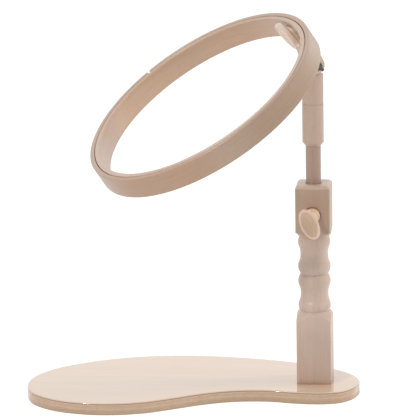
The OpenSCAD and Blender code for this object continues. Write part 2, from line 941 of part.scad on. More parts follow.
module hoop_knob() {
  color(beech)
    along_hoop_bolt()
      translate([0, 0, nut_gap])
        difference() {
          union() {
            cylinder(r = knob_foot_radius, h = knob_foot + 1, $fn = small_fn);
            translate([0, 0, knob_foot])
              rotate([0, 0, knob_turn - 90])
                oval_head();
          }
          translate([0, 0, -through])
            cylinder(
              d = insert_d + 2 * glue_gap,
              h = insert_length + glue_gap + through,
              $fn = small_fn);
        }
}

module knob_insert() {
  color(brass)
    along_hoop_bolt()
      translate([0, 0, nut_gap])
        tube(insert_d / 2, hoop_bolt_d / 2 + running_clearance, insert_length, $fn = small_fn);
}

module outer_hoop() {
  color(bent_wood)
    difference() {
      on_hoop()
        rotate_extrude($fn = 2 * $fn)
          ring_section(outer_ring_inside);
      at_split() {
        translate([hoop_r, 0, 0])
          cube([4 * ring_thickness, split_gap, 2 * hoop_depth], center = true);
        for (side = [-1, 1])
          rivet_place(side)
            cylinder(
              r = rivet_d / 2 + glue_gap,
              h = 4 * ring_thickness,
              center = true,
              $fn = small_fn);
      }
    }
}

// Places children on a lug's rivet, with z outwards from the ring's outer face
module rivet_place(side) {
  rotate([0, 0, side * asin(rivet_place / hoop_r)])
    translate([hoop_r, 0, 0])
      rotate([0, 90, 0])
        children();
}

// A bent sheet lug: a foot along the ring and an ear that the tension screw passes
module tension_lug(side) {
  ear_top = tension_axis;
  foot_outside = hoop_r + glue_gap + lug_sheet;
  color(steel)
    at_split()
      difference() {
        union() {
          intersection() {
            translate([0, 0, -lug_width / 2])
              tube(foot_outside, hoop_r + glue_gap, lug_width);
            translate([hoop_r, side * (ear_start + lug_foot) / 2, 0])
              cube([4 * lug_sheet, lug_foot - ear_start, 2 * lug_width], center = true);
          }
          translate([0, side * (ear_start + ear_end) / 2, 0]) {
            translate([(ear_top + hoop_r) / 2, 0, 0])
              cube([ear_top - hoop_r, lug_sheet, lug_width], center = true);
            translate([ear_top, 0, 0])
              rotate([90, 0, 0])
                cylinder(d = lug_width, h = lug_sheet, center = true, $fn = small_fn);
          }
        }
        translate([tension_axis, 0, 0])
          rotate([90, 0, 0])
            cylinder(
              r = tension_d / 2 + running_clearance,
              h = 2 * lug_foot,
              center = true,
              $fn = small_fn);
        rivet_place(side)
          cylinder(
            r = rivet_d / 2 + glue_gap,
            h = 4 * ring_thickness,
            center = true,
            $fn = small_fn);
      }
}

module tension_lug_1() {
  tension_lug(1);
}

module tension_lug_2() {
  tension_lug(-1);
}

module lug_rivet(side) {
  shank = ring_thickness - 2 * glue_gap;
  color(brass)
    at_split()
      rivet_place(side) {
        translate([0, 0, -shank])
          cylinder(d = rivet_d, h = shank + glue_gap + lug_sheet + rivet_head, $fn = small_fn);
        translate([0, 0, lug_sheet + 2 * glue_gap])
          rotate_extrude($fn = small_fn)
            polygon(concat(
              [[0, 0]],
              bulged([rivet_head_radius, 0], [0, rivet_head], 0.35, 6),
              [[0, rivet_head]]
            ));
      }
}

module lug_rivet_1() {
  lug_rivet(1);
}

module lug_rivet_2() {
  lug_rivet(-1);
}

module tension_nut() {
  color(brass)
    at_split()
      translate([tension_axis, -ear_end - seat_gap - nut_thickness / 2, 0])
        difference() {
          cube([nut_width, nut_thickness, nut_width], center = true);
          rotate([90, 0, 0])
            cylinder(
              r = tension_d / 2 + running_clearance,
              h = 2 * nut_thickness,
              center = true,
              $fn = small_fn);
        }
}

module tension_screw() {
  knurls = 24;
  wheel_start = ear_end + nut_gap;
  tail = ear_end + nut_thickness + 2;
  color(brass)
    at_split()
      translate([tension_axis, 0, 0])
        rotate([-90, 0, 0])
          difference() {
            union() {
              translate([0, 0, -tail])
                cylinder(d = tension_d, h = tail + wheel_start + 1, $fn = small_fn);
              translate([0, 0, wheel_start])
                cylinder(d = wheel_d, h = wheel_length, $fn = small_fn);
            }
            for (i = [0 : knurls - 1])
              rotate([0, 0, i * 360 / knurls])
                translate([wheel_d / 2 + 0.1, 0, wheel_start + 0.8])
                  rotate([0, 0, 45])
                    cube([0.8, 0.8, 2 * wheel_length], center = true);
          }
}

base_board();
post();
dowel_pin();
base_screw_1();
base_screw_2();
rod();
rod_sleeve();
height_screw();
swivel_head();
eye_bolt();
hoop_holder();
tilt_bolt();
tilt_washer_near();
tilt_washer_far();
inner_hoop();
hoop_bolt();
wing_nut();
hoop_knob();
knob_insert();
outer_hoop();
tension_lug_1();
tension_lug_2();
lug_rivet_1();
lug_rivet_2();
tension_nut();
tension_screw();
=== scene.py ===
# %% [markdown]
# An embroidery seat stand, dressed for a studio picture. The construction comes packed from
# the CAD model as a fixed frame: every solid is where it belongs, in metres, with Z up.
# Everything below adds finishes and finer surfaces to that frame and never moves it.

# %% Load the frame
import json
import math

import bmesh
import bpy
from mathutils import Matrix, Vector

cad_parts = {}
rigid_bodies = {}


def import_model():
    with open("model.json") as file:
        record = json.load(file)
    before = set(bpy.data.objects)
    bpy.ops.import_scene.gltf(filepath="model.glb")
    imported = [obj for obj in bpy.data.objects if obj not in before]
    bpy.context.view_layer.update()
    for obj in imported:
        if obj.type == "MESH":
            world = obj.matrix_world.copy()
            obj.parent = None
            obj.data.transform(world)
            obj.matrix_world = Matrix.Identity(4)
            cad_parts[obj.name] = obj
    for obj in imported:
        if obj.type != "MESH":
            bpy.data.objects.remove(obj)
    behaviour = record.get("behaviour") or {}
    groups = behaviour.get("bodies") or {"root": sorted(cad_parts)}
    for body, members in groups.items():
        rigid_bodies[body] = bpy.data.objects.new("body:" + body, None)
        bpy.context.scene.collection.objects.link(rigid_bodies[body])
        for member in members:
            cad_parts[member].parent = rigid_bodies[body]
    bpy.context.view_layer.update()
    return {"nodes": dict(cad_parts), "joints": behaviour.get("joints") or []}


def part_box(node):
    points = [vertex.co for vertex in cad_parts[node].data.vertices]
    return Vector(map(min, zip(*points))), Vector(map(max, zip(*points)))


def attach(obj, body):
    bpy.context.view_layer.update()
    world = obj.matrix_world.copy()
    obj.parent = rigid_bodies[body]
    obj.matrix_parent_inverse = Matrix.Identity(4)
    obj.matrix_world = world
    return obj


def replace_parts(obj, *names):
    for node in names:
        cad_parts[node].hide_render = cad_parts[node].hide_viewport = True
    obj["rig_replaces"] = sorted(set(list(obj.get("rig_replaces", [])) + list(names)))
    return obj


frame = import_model()
nodes = frame["nodes"]
joints = {joint["name"]: joint for joint in frame["joints"]}
print("nodes in the frame:", len(nodes), "joints:", len(joints))

# %% [markdown]
# The photograph was taken from far away with a long lens, so its lines hardly converge.
# A camera is given by where it stands and by three directions: right, up and back towards
# the viewer. Yaw and elevation set them, and a small roll levels the picture as it was shot.

# %% Camera
CAMERA_PLACE = Vector((0.4154, -4.8342, 1.4121))
CAMERA_YAW = math.radians(6.2)
CAMERA_ELEVATION = math.radians(14.03)
CAMERA_ROLL = math.radians(-0.87)
CAMERA_LENS, SENSOR_WIDTH = 407.7, 36


def camera_axes():
    yaw, rise = CAMERA_YAW, CAMERA_ELEVATION
    back = Vector((math.sin(yaw) * math.cos(rise), -math.cos(yaw) * math.cos(rise),
                   math.sin(rise)))
    right = Vector((math.cos(yaw), math.sin(yaw), 0))
    turn = Matrix.Rotation(CAMERA_ROLL, 3, back)
    return turn @ right, turn @ back.cross(right), back


def from_axes(x, y, z, place):
    """The matrix that puts a piece's own axes and its origin where they belong."""
    matrix = Matrix((x, y, z)).transposed().to_4x4()
    matrix.translation = place
    return matrix


def object_of(name, data):
    """Puts a camera, a lamp or a mesh into the scene."""
    made = bpy.data.objects.new(name, data)
    bpy.context.scene.collection.objects.link(made)
    return made


camera_data = bpy.data.cameras.new("camera")
camera_data.lens = CAMERA_LENS
camera_data.sensor_width = SENSOR_WIDTH
camera = object_of("camera", camera_data)
camera.matrix_world = from_axes(*camera_axes(), CAMERA_PLACE)
bpy.context.scene.camera = camera
bpy.context.scene.view_settings.view_transform = "Standard"
print("camera stands", round(CAMERA_PLACE.length, 2), "m from the stand's foot")

# %% [markdown]
# A pack shot on white: a soft white room, one lamp at the upper left in front that draws the
# soft shadows and the glints, a broad one overhead, and one at the right for the side faces.
# The world is a soft fill for the wood, but the camera and every glossy coat see it as white,
# so the varnish mirrors a white studio without more light on the wood.

# %% World and lamps
FILL_STRENGTH = 0.47
STAND_MIDDLE = Vector((0, 0, 0.2))
# place, target, size of the disk, power, and whether a glossy coat mirrors the lamp
LAMPS = {
    "top_lamp": ((-0.4, 0.6, 2.4), (-0.1, 0, 0.1), 1.6, 13, False),
    "key_lamp": ((-1.4, -2.3, 2.1), STAND_MIDDLE, 0.42, 37, True),
    "right_lamp": ((2.4, 0.5, 1.0), STAND_MIDDLE, 1.1, 34, False),
}


def feed(tree, value, socket):
    """Gives an input its value: a link from another socket, or a constant."""
    if isinstance(value, bpy.types.NodeSocket):
        tree.links.new(value, socket)
    else:
        socket.default_value = value


def node(tree, kind, **settings):
    """Adds a shader node. A setting is an input, by a constant or a socket, or an attribute."""
    made = tree.nodes.new(kind)
    for key, value in settings.items():
        if key in made.inputs:
            feed(tree, value, made.inputs[key])
        else:
            setattr(made, key, value)
    return made


def math_node(tree, operation, *values, clamp=False):
    """Adds a Math node on sockets or numbers, and returns its output socket."""
    made = node(tree, "ShaderNodeMath", operation=operation, use_clamp=clamp)
    for value, socket in zip(values, made.inputs):
        feed(tree, value, socket)
    return made.outputs[0]


def plus(tree, a, b, clamp=False):
    return math_node(tree, "ADD", a, b, clamp=clamp)


def minus(tree, a, b):
    return math_node(tree, "SUBTRACT", a, b)


def times(tree, a, b):
    return math_node(tree, "MULTIPLY", a, b)


world = bpy.data.worlds.new("studio")
bpy.context.scene.world = world
world.use_nodes = True
tree = world.node_tree
path = node(tree, "ShaderNodeLightPath")
seen = math_node(tree, "MAXIMUM", path.outputs["Is Camera Ray"], path.outputs["Is Glossy Ray"])
seen = math_node(tree, "MAXIMUM", seen, path.outputs["Is Transmission Ray"])
strength = math_node(tree, "MULTIPLY_ADD", seen, 1 - FILL_STRENGTH, FILL_STRENGTH)
tree.links.new(strength, tree.nodes["Background"].inputs["Strength"])
tree.nodes["Background"].inputs["Color"].default_value = (1, 1, 1, 1)

for name, (place, target, size, power, mirrored) in LAMPS.items():
    lamp = bpy.data.lights.new(name, "AREA")
    lamp.shape = "DISK"
    lamp.size = size
    lamp.energy = power
    held = object_of(name, lamp)
    held.location = place
    held.rotation_euler = (Vector(target) - Vector(place)).to_track_quat("-Z", "Y").to_euler()
    held.visible_glossy = mirrored
    print(name, "is", round((held.location - STAND_MIDDLE).length, 2), "m from the stand")

# %% [markdown]
# The floor is a plain sheet of paper that stays white out to the picture's edges. Most of what
# the camera sees is its own white and the rest is lit paper, so it keeps a soft shadow.

# %% Floor
FLOOR_HALF, FLOOR_WHITE = 12, 0.93
PAPER_GLOW, GLOW_SHARE = 1.2, 0.75

floor_mesh = bpy.data.meshes.new("floor")
floor_mesh.from_pydata(
    [(x * FLOOR_HALF, y * FLOOR_HALF, 0) for x, y in ((-1, -1), (1, -1), (1, 1), (-1, 1))],
    [], [(0, 1, 2, 3)])
floor = object_of("floor", floor_mesh)
paper = bpy.data.materials.new("paper")
paper.use_nodes = True
tree = paper.node_tree
tree.nodes.clear()
lit = node(tree, "ShaderNodeBsdfDiffuse", Color=(FLOOR_WHITE, FLOOR_WHITE, FLOOR_WHITE, 1))
white = node(tree, "ShaderNodeEmission", Strength=PAPER_GLOW)
path = node(tree, "ShaderNodeLightPath")
share = times(tree, path.outputs["Is Camera Ray"], GLOW_SHARE)
mixer = node(tree, "ShaderNodeMixShader", Fac=share)
tree.links.new(lit.outputs[0], mixer.inputs[1])
tree.links.new(white.outputs[0], mixer.inputs[2])
node(tree, "ShaderNodeOutputMaterial", Surface=mixer.outputs[0])
floor_mesh.materials.append(paper)

# %% [markdown]
# Beech has a quiet figure: broad soft bands, fine fibres along the grain, and many short dark
# flecks, its rays. Growth rings show as faint lines on the sides and as arcs on the end grain.
# One node group makes all of them from a point in the wood, whose Z axis is the grain.
# Solid noise, and not a flat picture, makes the figure run through every edge as in real wood.

# %% Group: wood figure
def group(name, inputs, outputs):
    """Starts a node group. Inputs and outputs give each socket's label and kind."""
    made = bpy.data.node_groups.new(name, "ShaderNodeTree")
    for direction, sockets in (("INPUT", inputs), ("OUTPUT", outputs)):
        for label, kind in sockets.items():
            made.interface.new_socket(label, in_out=direction, socket_type="NodeSocket" + kind)
    return made, made.nodes.new("NodeGroupInput"), made.nodes.new("NodeGroupOutput")


def stretched_noise(tree, vector, across, along, detail=2.0, roughness=0.5):
    """Noise whose cells are drawn out along Z: so many cells a metre across and along."""
    drawn = node(tree, "ShaderNodeMapping", Vector=vector, Scale=(across, across, along))
    return node(tree, "ShaderNodeTexNoise", Vector=drawn.outputs[0], Scale=1.0, Detail=detail,
                Roughness=roughness).outputs[0]


def ramp(tree, value, low, high):
    """Maps low..high to 0..1, smoothly, and cuts off what lies outside."""
    return node(tree, "ShaderNodeMapRange", interpolation_type="SMOOTHSTEP",
                **{"Value": value, "From Min": low, "From Max": high}).outputs["Result"]


def blend_colour(tree, share, a, b, mode="MIX"):
    """Goes from one colour to another by a share. Mode MULTIPLY tints the first one instead."""
    made = node(tree, "ShaderNodeMix", data_type="RGBA", blend_type=mode)
    for value, i in ((share, 0), (a, 6), (b, 7)):
        feed(tree, value, made.inputs[i])
    return made.outputs[2]


def vector_math(tree, operation, a, b):
    """Adds a Vector Math node on sockets or vectors, and returns its output socket."""
    made = node(tree, "ShaderNodeVectorMath", operation=operation)
    feed(tree, a, made.inputs[0])
    feed(tree, b, made.inputs[1])
    return made.outputs["Value" if operation == "DOT_PRODUCT" else "Vector"]


def split(tree, vector):
    """The three coordinates of a point."""
    return node(tree, "ShaderNodeSeparateXYZ", Vector=vector).outputs


def distance(tree, a, b):
    """How far a point lies from an axis, from its two coordinates across that axis."""
    return math_node(tree, "SQRT", plus(tree, times(tree, a, a), times(tree, b, b)))


RING_SPACING, RING_WANDER = 0.0031, 0.012
PITH_PLACE = (0.062, -0.048, 0)

figure, given, out = group(
    "wood_figure",
    {"Point": "Vector", "Pale": "Color", "Dark": "Color",
     "Bands": "Float", "Rings": "Float", "Flecks": "Float"},
    {"Color": "Color", "Height": "Float"})
point = given.outputs["Point"]
bands = ramp(figure, stretched_noise(figure, point, 42, 3.2, 3.0), 0.3, 0.72)
fibre = stretched_noise(figure, point, 950, 22, 3.0, 0.65)
ticks = ramp(figure, stretched_noise(figure, point, 1150, 260, 1.0), 0.60, 0.70)
thin = ramp(figure, stretched_noise(figure, point, 260, 60, 2.0), 0.42, 0.60)
flecks = times(figure, ticks, thin)
from_pith = split(figure, vector_math(figure, "SUBTRACT", point, PITH_PLACE))
wander = times(figure, stretched_noise(figure, point, 55, 3.5, 2.0), RING_WANDER)
reach = plus(figure, distance(figure, from_pith[0], from_pith[1]), wander)
ring_wave = math_node(figure, "SINE", times(figure, reach, math.tau / RING_SPACING))
rings = ramp(figure, ring_wave, 0.2, 1.0)
tone = times(figure, bands, given.outputs["Bands"])
tone = plus(figure, tone, times(figure, rings, given.outputs["Rings"]))
tone = plus(figure, tone, times(figure, minus(figure, fibre, 0.5), 0.6))
tone = plus(figure, tone, times(figure, flecks, given.outputs["Flecks"]), clamp=True)
figure.links.new(blend_colour(figure, tone, given.outputs["Pale"], given.outputs["Dark"]),
                 out.inputs["Color"])
figure.links.new(minus(figure, fibre, times(figure, flecks, 0.8)), out.inputs["Height"])
print("wood figure group has", len(figure.nodes), "nodes")

# %% [markdown]
# A hoop is a strip of straight wood bent round a former, so its grain runs along the rim.
# Its figure is found by unrolling the ring: the way round, the way out and the way up become
# the three axes of the strip. The hoop's frame comes from the joints, which hold its axes.

# %% Group: unroll the hoop
pivot = Vector(joints["hoop_tilt"]["pos_m"])
hoop_up = Vector(joints["outer_hoop_lift"]["axis"])
hoop_out = -Vector(joints["hoop_knob_turn"]["axis"])
hoop_side = hoop_up.cross(hoop_out)
head_frame = from_axes(hoop_out, hoop_side, hoop_up, pivot)


def hoop_extent(axis):
    values = [(v.co - pivot).dot(axis) for v in nodes["inner_hoop"].data.vertices]
    return min(values), max(values)


OUT_LOW, OUT_HIGH = hoop_extent(hoop_out)
UP_LOW, UP_HIGH = hoop_extent(hoop_up)
hoop_centre = pivot + hoop_out * (OUT_LOW + OUT_HIGH) / 2 + hoop_up * (UP_LOW + UP_HIGH) / 2
hoop_radius = (OUT_HIGH - OUT_LOW) / 2
print("inner hoop is", round(2000 * hoop_radius), "mm across, centre at", hoop_centre)

unroll, given, out = group(
    "unroll_hoop", {"Point": "Vector", "Seam turn": "Float"}, {"Strip": "Vector", "Turn": "Float"})
from_centre = vector_math(unroll, "SUBTRACT", given.outputs["Point"], hoop_centre)
a, b, c = (vector_math(unroll, "DOT_PRODUCT", from_centre, axis)
           for axis in (hoop_out, hoop_side, hoop_up))
turn = minus(unroll, math_node(unroll, "ARCTAN2", b, a), given.outputs["Seam turn"])
turn = math_node(unroll, "FLOORED_MODULO", turn, math.tau)
strip = node(unroll, "ShaderNodeCombineXYZ", X=distance(unroll, a, b), Y=c,
             Z=times(unroll, turn, hoop_radius))
unroll.links.new(strip.outputs[0], out.inputs["Strip"])
unroll.links.new(turn, out.inputs["Turn"])

# %% [markdown]
# Wood finishes. Each one places the figure group with its own colours, adds a shallow bump from
# the fibres, and puts a clear coat on top. The coat is set straight on the shader's sockets,
# because a number that is the same all over needs no node.

# %% Wood materials
PLANED, FINE, GLOSSY = 0.00003, 0.00002, 0.000008    # height of the fibres in metres


def material(name):
    made = bpy.data.materials.new(name)
    made.use_nodes = True
    return made, made.node_tree, made.node_tree.nodes["Principled BSDF"]


def bump(tree, shader, height, relief, strength):
    made = node(tree, "ShaderNodeBump", Height=height, Strength=strength, Distance=relief)
    tree.links.new(made.outputs[0], shader.inputs["Normal"])


def object_point(tree):
    return node(tree, "ShaderNodeTexCoord").outputs["Object"]


def grain_along(tree, turn_degrees=(0, 0, 0)):
    """Object coordinates turned so that their Z axis runs along the grain."""
    return node(tree, "ShaderNodeMapping", Vector=object_point(tree),
                Rotation=[math.radians(d) for d in turn_degrees]).outputs[0]


def figured(tree, point, pale, dark, bands, rings, flecks):
    """The wood figure in two colours at a point: its colour, and the height of its fibres."""
    made = node(tree, "ShaderNodeGroup", node_tree=figure, Point=point, Pale=(*pale, 1),
                Dark=(*dark, 1), Bands=bands, Rings=rings, Flecks=flecks)
    return made.outputs["Color"], made.outputs["Height"]


def varnished(tree, shader, tone, height, relief, coat, coat_roughness, roughness, strength=0.5):
    """Gives a wood its colour, a shallow bump from its fibres and a clear coat."""
    tree.links.new(tone, shader.inputs["Base Color"])
    bump(tree, shader, height, relief, strength)
    for label, value in (("Roughness", roughness), ("Coat Weight", coat),
                         ("Coat Roughness", coat_roughness)):
        shader.inputs[label].default_value = value


def wood(name, pale, dark):
    made, tree, shader = material(name)
    tone, height = figured(tree, grain_along(tree), pale, dark, 0.35, 0.1, 0.45)
    varnished(tree, shader, tone, height, PLANED, 0.6, 0.2, 0.5)
    return made


sleeve_wood = wood("beech_sleeve", (0.50, 0.36, 0.275), (0.35, 0.235, 0.165))
rod_wood = wood("beech_rod", (0.385, 0.255, 0.19), (0.27, 0.17, 0.12))
# the holder's paler, more orange beech is partly painted light that lifts its tongue out of the
# shade inside the hoop
holder_wood = wood("beech_holder", (0.64, 0.48, 0.35), (0.51, 0.35, 0.23))

# %% [markdown]
# The post is one length of beech whose colour changes with height: a pinkish grey foot, a paler
# grip and a browner upper block. The paler grip is painted light that evens out the shade falling
# on the turned grip; the browner block is partly the wood's own tone and partly painted shade. The
# change is slow with height, roughened by noise, and it only tints the figure's colour, so the
# grain stays the same all the way up. The sawn and sanded end on top is paler, because end grain
# takes less of the finish's colour.

# %% Post material
# the heights between which each tint comes in, and the tint. The darker foot leaves the grip
# paler, as painted light; the browner block's tint is partly tone and partly painted shade.
TONE_AND_SHADE_BY_HEIGHT = [(0.09, 0.07, (0.92, 0.90, 0.89)), (0.06, 0.02, (1.0, 0.975, 0.95)),
         (0.168, 0.195, (0.735, 0.665, 0.59))]
SAWN_PALE = (0.60, 0.47, 0.38, 1)

post_wood, tree, shader = material("beech_post")
point = object_point(tree)
z = split(tree, point)[2]
drift = plus(tree, z, times(tree, stretched_noise(tree, point, 90, 12), 0.02))
tone, height = figured(tree, point, (0.60, 0.455, 0.37), (0.465, 0.34, 0.265), 0.35, 0.1, 0.45)
for low, high, tint in TONE_AND_SHADE_BY_HEIGHT:
    tone = blend_colour(tree, ramp(tree, drift, low, high), tone, (*tint, 1), "MULTIPLY")
sawn_end = times(tree, ramp(tree, z, 0.2235, 0.2268), 0.55)
tone = blend_colour(tree, sawn_end, tone, SAWN_PALE)
varnished(tree, shader, tone, height, PLANED, 0.6, 0.3, 0.5)

# %% [markdown]
# A bent strip isn't one colour from end to end: a tint makes some stretches darker and browner.

# %% Bent wood materials
def bent_wood(name, pale, dark, seam_turn, darker_stretches):
    """Darker stretches are tinted: the turn of the middle, the reach each way, and the tint."""
    made, tree, shader = material(name)
    rolled = node(tree, "ShaderNodeGroup", node_tree=unroll,
                  **{"Point": object_point(tree), "Seam turn": seam_turn})
    tone, height = figured(tree, rolled.outputs["Strip"], pale, dark, 0.4, 0.08, 0.45)
    for middle, reach, tint in darker_stretches:
        away = math_node(tree, "ABSOLUTE", minus(tree, rolled.outputs["Turn"], middle))
        share = ramp(tree, away, reach, reach * 0.3)
        tone = blend_colour(tree, share, tone, (*tint, 1), "MULTIPLY")
    varnished(tree, shader, tone, height, FINE, 0.7, 0.28, 0.5)
    return made


outer_wood = bent_wood("bent_outer", (0.485, 0.35, 0.262), (0.375, 0.248, 0.172),
                       math.pi / 2,
                       [(2.2, 0.9, (0.94, 0.81, 0.71)), (3.45, 0.7, (0.80, 0.74, 0.67))])
inner_wood = bent_wood("bent_inner", (0.60, 0.45, 0.36), (0.46, 0.32, 0.235),
                       math.radians(200), [(4.0, 1.5, (0.91, 0.81, 0.69))])

# %% [markdown]
# Both thumbscrews are turned from the same wood. The crest of the oval's rim is painted paler than
# the dish, a painted highlight where light falls on the raised rim. The crest is found by how far
# a point lies along the screw's own axis, so one group serves both heads.

# %% Group: painted rim highlight, and the thumbscrews' wood
rim_highlight_group, given, out = group(
    "painted_rim_highlight",
    {"Point": "Vector", "Crest": "Vector", "Axis": "Vector", "Depth": "Float"},
    {"Share": "Float"})
from_crest = vector_math(rim_highlight_group, "SUBTRACT", given.outputs["Point"], given.outputs["Crest"])
above = vector_math(rim_highlight_group, "DOT_PRODUCT", from_crest, given.outputs["Axis"])
share = math_node(rim_highlight_group, "DIVIDE", plus(rim_highlight_group, above, given.outputs["Depth"]),
                  given.outputs["Depth"], clamp=True)
rim_highlight_group.links.new(share, out.inputs["Share"])
# how far below the crest the painted highlight reaches, and how much of it shows
RIM_HIGHLIGHT_DEPTH, RIM_HIGHLIGHT_SHARE = 0.0011, 0.75


def thumb_wood(name, crest, axis, turn, pale, dark, rim_highlight_colour):
    made, tree, shader = material(name)
    tone, height = figured(tree, grain_along(tree, turn), pale, dark, 0.3, 0.06, 0.4)
    rim_highlight = node(tree, "ShaderNodeGroup", node_tree=rim_highlight_group, Point=object_point(tree),
                  Crest=crest, Axis=axis, Depth=RIM_HIGHLIGHT_DEPTH)
    # the rim's crest takes the paler colour: a painted highlight
    share = times(tree, rim_highlight.outputs["Share"], RIM_HIGHLIGHT_SHARE)
    tone = blend_colour(tree, share, tone, (*rim_highlight_colour, 1))
    varnished(tree, shader, tone, height, FINE, 0.7, 0.22, 0.45)
    return made


print("painted rim highlight group has", len(rim_highlight_group.nodes), "nodes")

# %% [markdown]
# The board is plywood, and its edge tells so: thin sheets lie crosswise, so every second one
# is a little darker, with fine broken glue lines between and a clear one below the face sheet.
# Height alone picks the sheet, and noise bends and breaks the lines, because a saw tears them.
# The varnish is thick and glossy: wood below it and a sharp coat both mirror the post's foot.

# %% Plywood material
FACE_SHEET, CORE_SHEETS = 0.0009, 5
LONG_SHEET, CROSS_SHEET = (0.64, 0.44, 0.285, 1), (0.54, 0.36, 0.225, 1)
LOW_EDGE, GLUE_LINE = (0.42, 0.265, 0.16, 1), (0.225, 0.155, 0.08, 1)
SAWN_SPECKLE = (0.33, 0.21, 0.13, 1)
VARNISH_IOR = 1.6
board_low, board_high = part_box("base_board")
core_sheet = (board_high.z - board_low.z - 2 * FACE_SHEET) / CORE_SHEETS
print("plywood: a core of", CORE_SHEETS, "sheets,", round(core_sheet * 1000, 2), "mm each")

plywood, tree, shader = material("plywood")
face_tone, height = figured(tree, grain_along(tree, (0, 90, 0)), (0.725, 0.52, 0.37),
                            (0.61, 0.415, 0.28), 0.35, 0.0, 0.25)
point = object_point(tree)
z = split(tree, point)[2]
ripple = times(tree, minus(tree, stretched_noise(tree, point, 45, 45, 3.0), 0.5), 0.0008)
core_height = math_node(tree, "DIVIDE", minus(tree, plus(tree, z, ripple), FACE_SHEET),
                        core_sheet)
crosswise = math_node(tree, "FLOORED_MODULO", math_node(tree, "FLOOR", core_height), 2.0)
within = math_node(tree, "ABSOLUTE", minus(tree, math_node(tree, "FRACT", core_height), 0.5))
broken = ramp(tree, stretched_noise(tree, point, 160, 160, 2.0), 0.38, 0.62)
glue = times(tree, ramp(tree, within, 0.36, 0.48), broken)
top_down = minus(tree, board_high.z, z)
under_face = math_node(tree, "ABSOLUTE", minus(tree, top_down, FACE_SHEET * 1.25))
under_face = minus(tree, 1.0, ramp(tree, under_face, 0.0003, 0.0011))
glue = math_node(tree, "MAXIMUM", times(tree, glue, 0.65), times(tree, under_face, 0.85))
edge_tone = blend_colour(tree, times(tree, crosswise, 0.6), LONG_SHEET, CROSS_SHEET)
low_half = times(tree, ramp(tree, z, 0.008, 0.001), 0.5)
speckle = times(tree, stretched_noise(tree, point, 900, 900, 2.0), 0.22)
for share, colour in ((low_half, LOW_EDGE), (glue, GLUE_LINE), (speckle, SAWN_SPECKLE)):
    edge_tone = blend_colour(tree, share, edge_tone, colour)
face = ramp(tree, top_down, FACE_SHEET * 1.1, FACE_SHEET * 0.7)
face = math_node(tree, "MAXIMUM", face, ramp(tree, z, FACE_SHEET * 0.8, FACE_SHEET * 0.4))
varnished(tree, shader, blend_colour(tree, face, edge_tone, face_tone), height,
          GLOSSY, 1.0, 0.03, 0.14, 0.3)
shader.inputs["Coat IOR"].default_value = VARNISH_IOR

# %% [markdown]
# Three metals: dark steel, zinc-plated steel for the washers, and plain brass. Fine turning
# marks and small stains come from noise on the roughness, so the metal isn't one flat grey.

# %% Metal materials
def metal(name, colour, stain, roughness):
    made, tree, shader = material(name)
    point = object_point(tree)
    cloud = stretched_noise(tree, point, 260, 260, 3.0)
    scratch = stretched_noise(tree, point, 2600, 500, 2.0)
    tone = blend_colour(tree, ramp(tree, cloud, 0.4, 0.75), (*colour, 1), (*stain, 1))
    tree.links.new(tone, shader.inputs["Base Color"])
    rough = math_node(tree, "MULTIPLY_ADD", scratch, 0.3, roughness - 0.15)
    tree.links.new(rough, shader.inputs["Roughness"])
    shader.inputs["Metallic"].default_value = 1.0
    bump(tree, shader, scratch, FINE, 0.4)
    return made


dark_steel = metal("dark_steel", (0.16, 0.155, 0.15), (0.09, 0.085, 0.08), 0.36)
zinc_steel = metal("zinc_steel", (0.42, 0.41, 0.39), (0.27, 0.26, 0.25), 0.34)
brass = metal("plain_brass", (0.74, 0.53, 0.24), (0.52, 0.34, 0.13), 0.30)

# %% [markdown]
# Most pieces of this stand are turned, planed square, or bent from a strip. Each is a stack of
# outlines, so one helper that joins outlines into a skin makes nearly every mesh here. A cut
# with a second mesh makes the bores, and a union gives a head and its thread one closed skin.
# The CAD solids have the same sizes with fewer facets: at grazing light those facets show in
# the varnish, so the large curved pieces are built again with fine steps and stand in for them.

# %% Helpers for meshes
MM = 0.001
UPRIGHT = Matrix.Identity(4)
CREASE, ROUND_CREASE, EASED_FROM = 38, 50, 40    # degrees between two faces
WELD, SLIVER = 2e-6, 1e-6


def skin(rings, closed=False):
    """Joins outlines with the same number of points. Closed joins the last to the first."""
    n, count = len(rings[0]), len(rings)
    points = [tuple(p) for ring in rings for p in ring]
    faces = []
    for i in range(count if closed else count - 1):
        a, b = i * n, (i + 1) % count * n
        for j in range(n):
            k = (j + 1) % n
            faces.append((a + j, a + k, b + k, b + j))
    if not closed:
        faces += [tuple(reversed(range(n))), tuple(range((count - 1) * n, count * n))]
    return points, faces


def joined(*skins):
    points, faces = [], []
    for some_points, some_faces in skins:
        start = len(points)
        points += some_points
        faces += [tuple(i + start for i in face) for face in some_faces]
    return points, faces


def placed(some_skin, frame_matrix=UPRIGHT):
    """Moves a skin that was drawn in millimetres into the stand's frame."""
    points, faces = some_skin
    return [tuple(frame_matrix @ (Vector(p) * MM)) for p in points], faces


def smooth(made, crease):
    made.data.shade_smooth()
    made.data.set_sharp_from_angle(angle=math.radians(crease))


def solid(name, some_skin, crease=CREASE):
    mesh = bpy.data.meshes.new(name)
    mesh.from_pydata(some_skin[0], [], some_skin[1])
    shell = bmesh.new()
    shell.from_mesh(mesh)
    bmesh.ops.recalc_face_normals(shell, faces=shell.faces)
    shell.to_mesh(mesh)
    shell.free()
    made = object_of(name, mesh)
    smooth(made, crease)
    return made


def apply_modifiers(made, crease=CREASE):
    """Bakes the modifiers of an object into its mesh."""
    seen = bpy.context.evaluated_depsgraph_get()
    baked = bpy.data.meshes.new_from_object(made.evaluated_get(seen))
    made.modifiers.clear()
    made.data = baked
    smooth(made, crease)


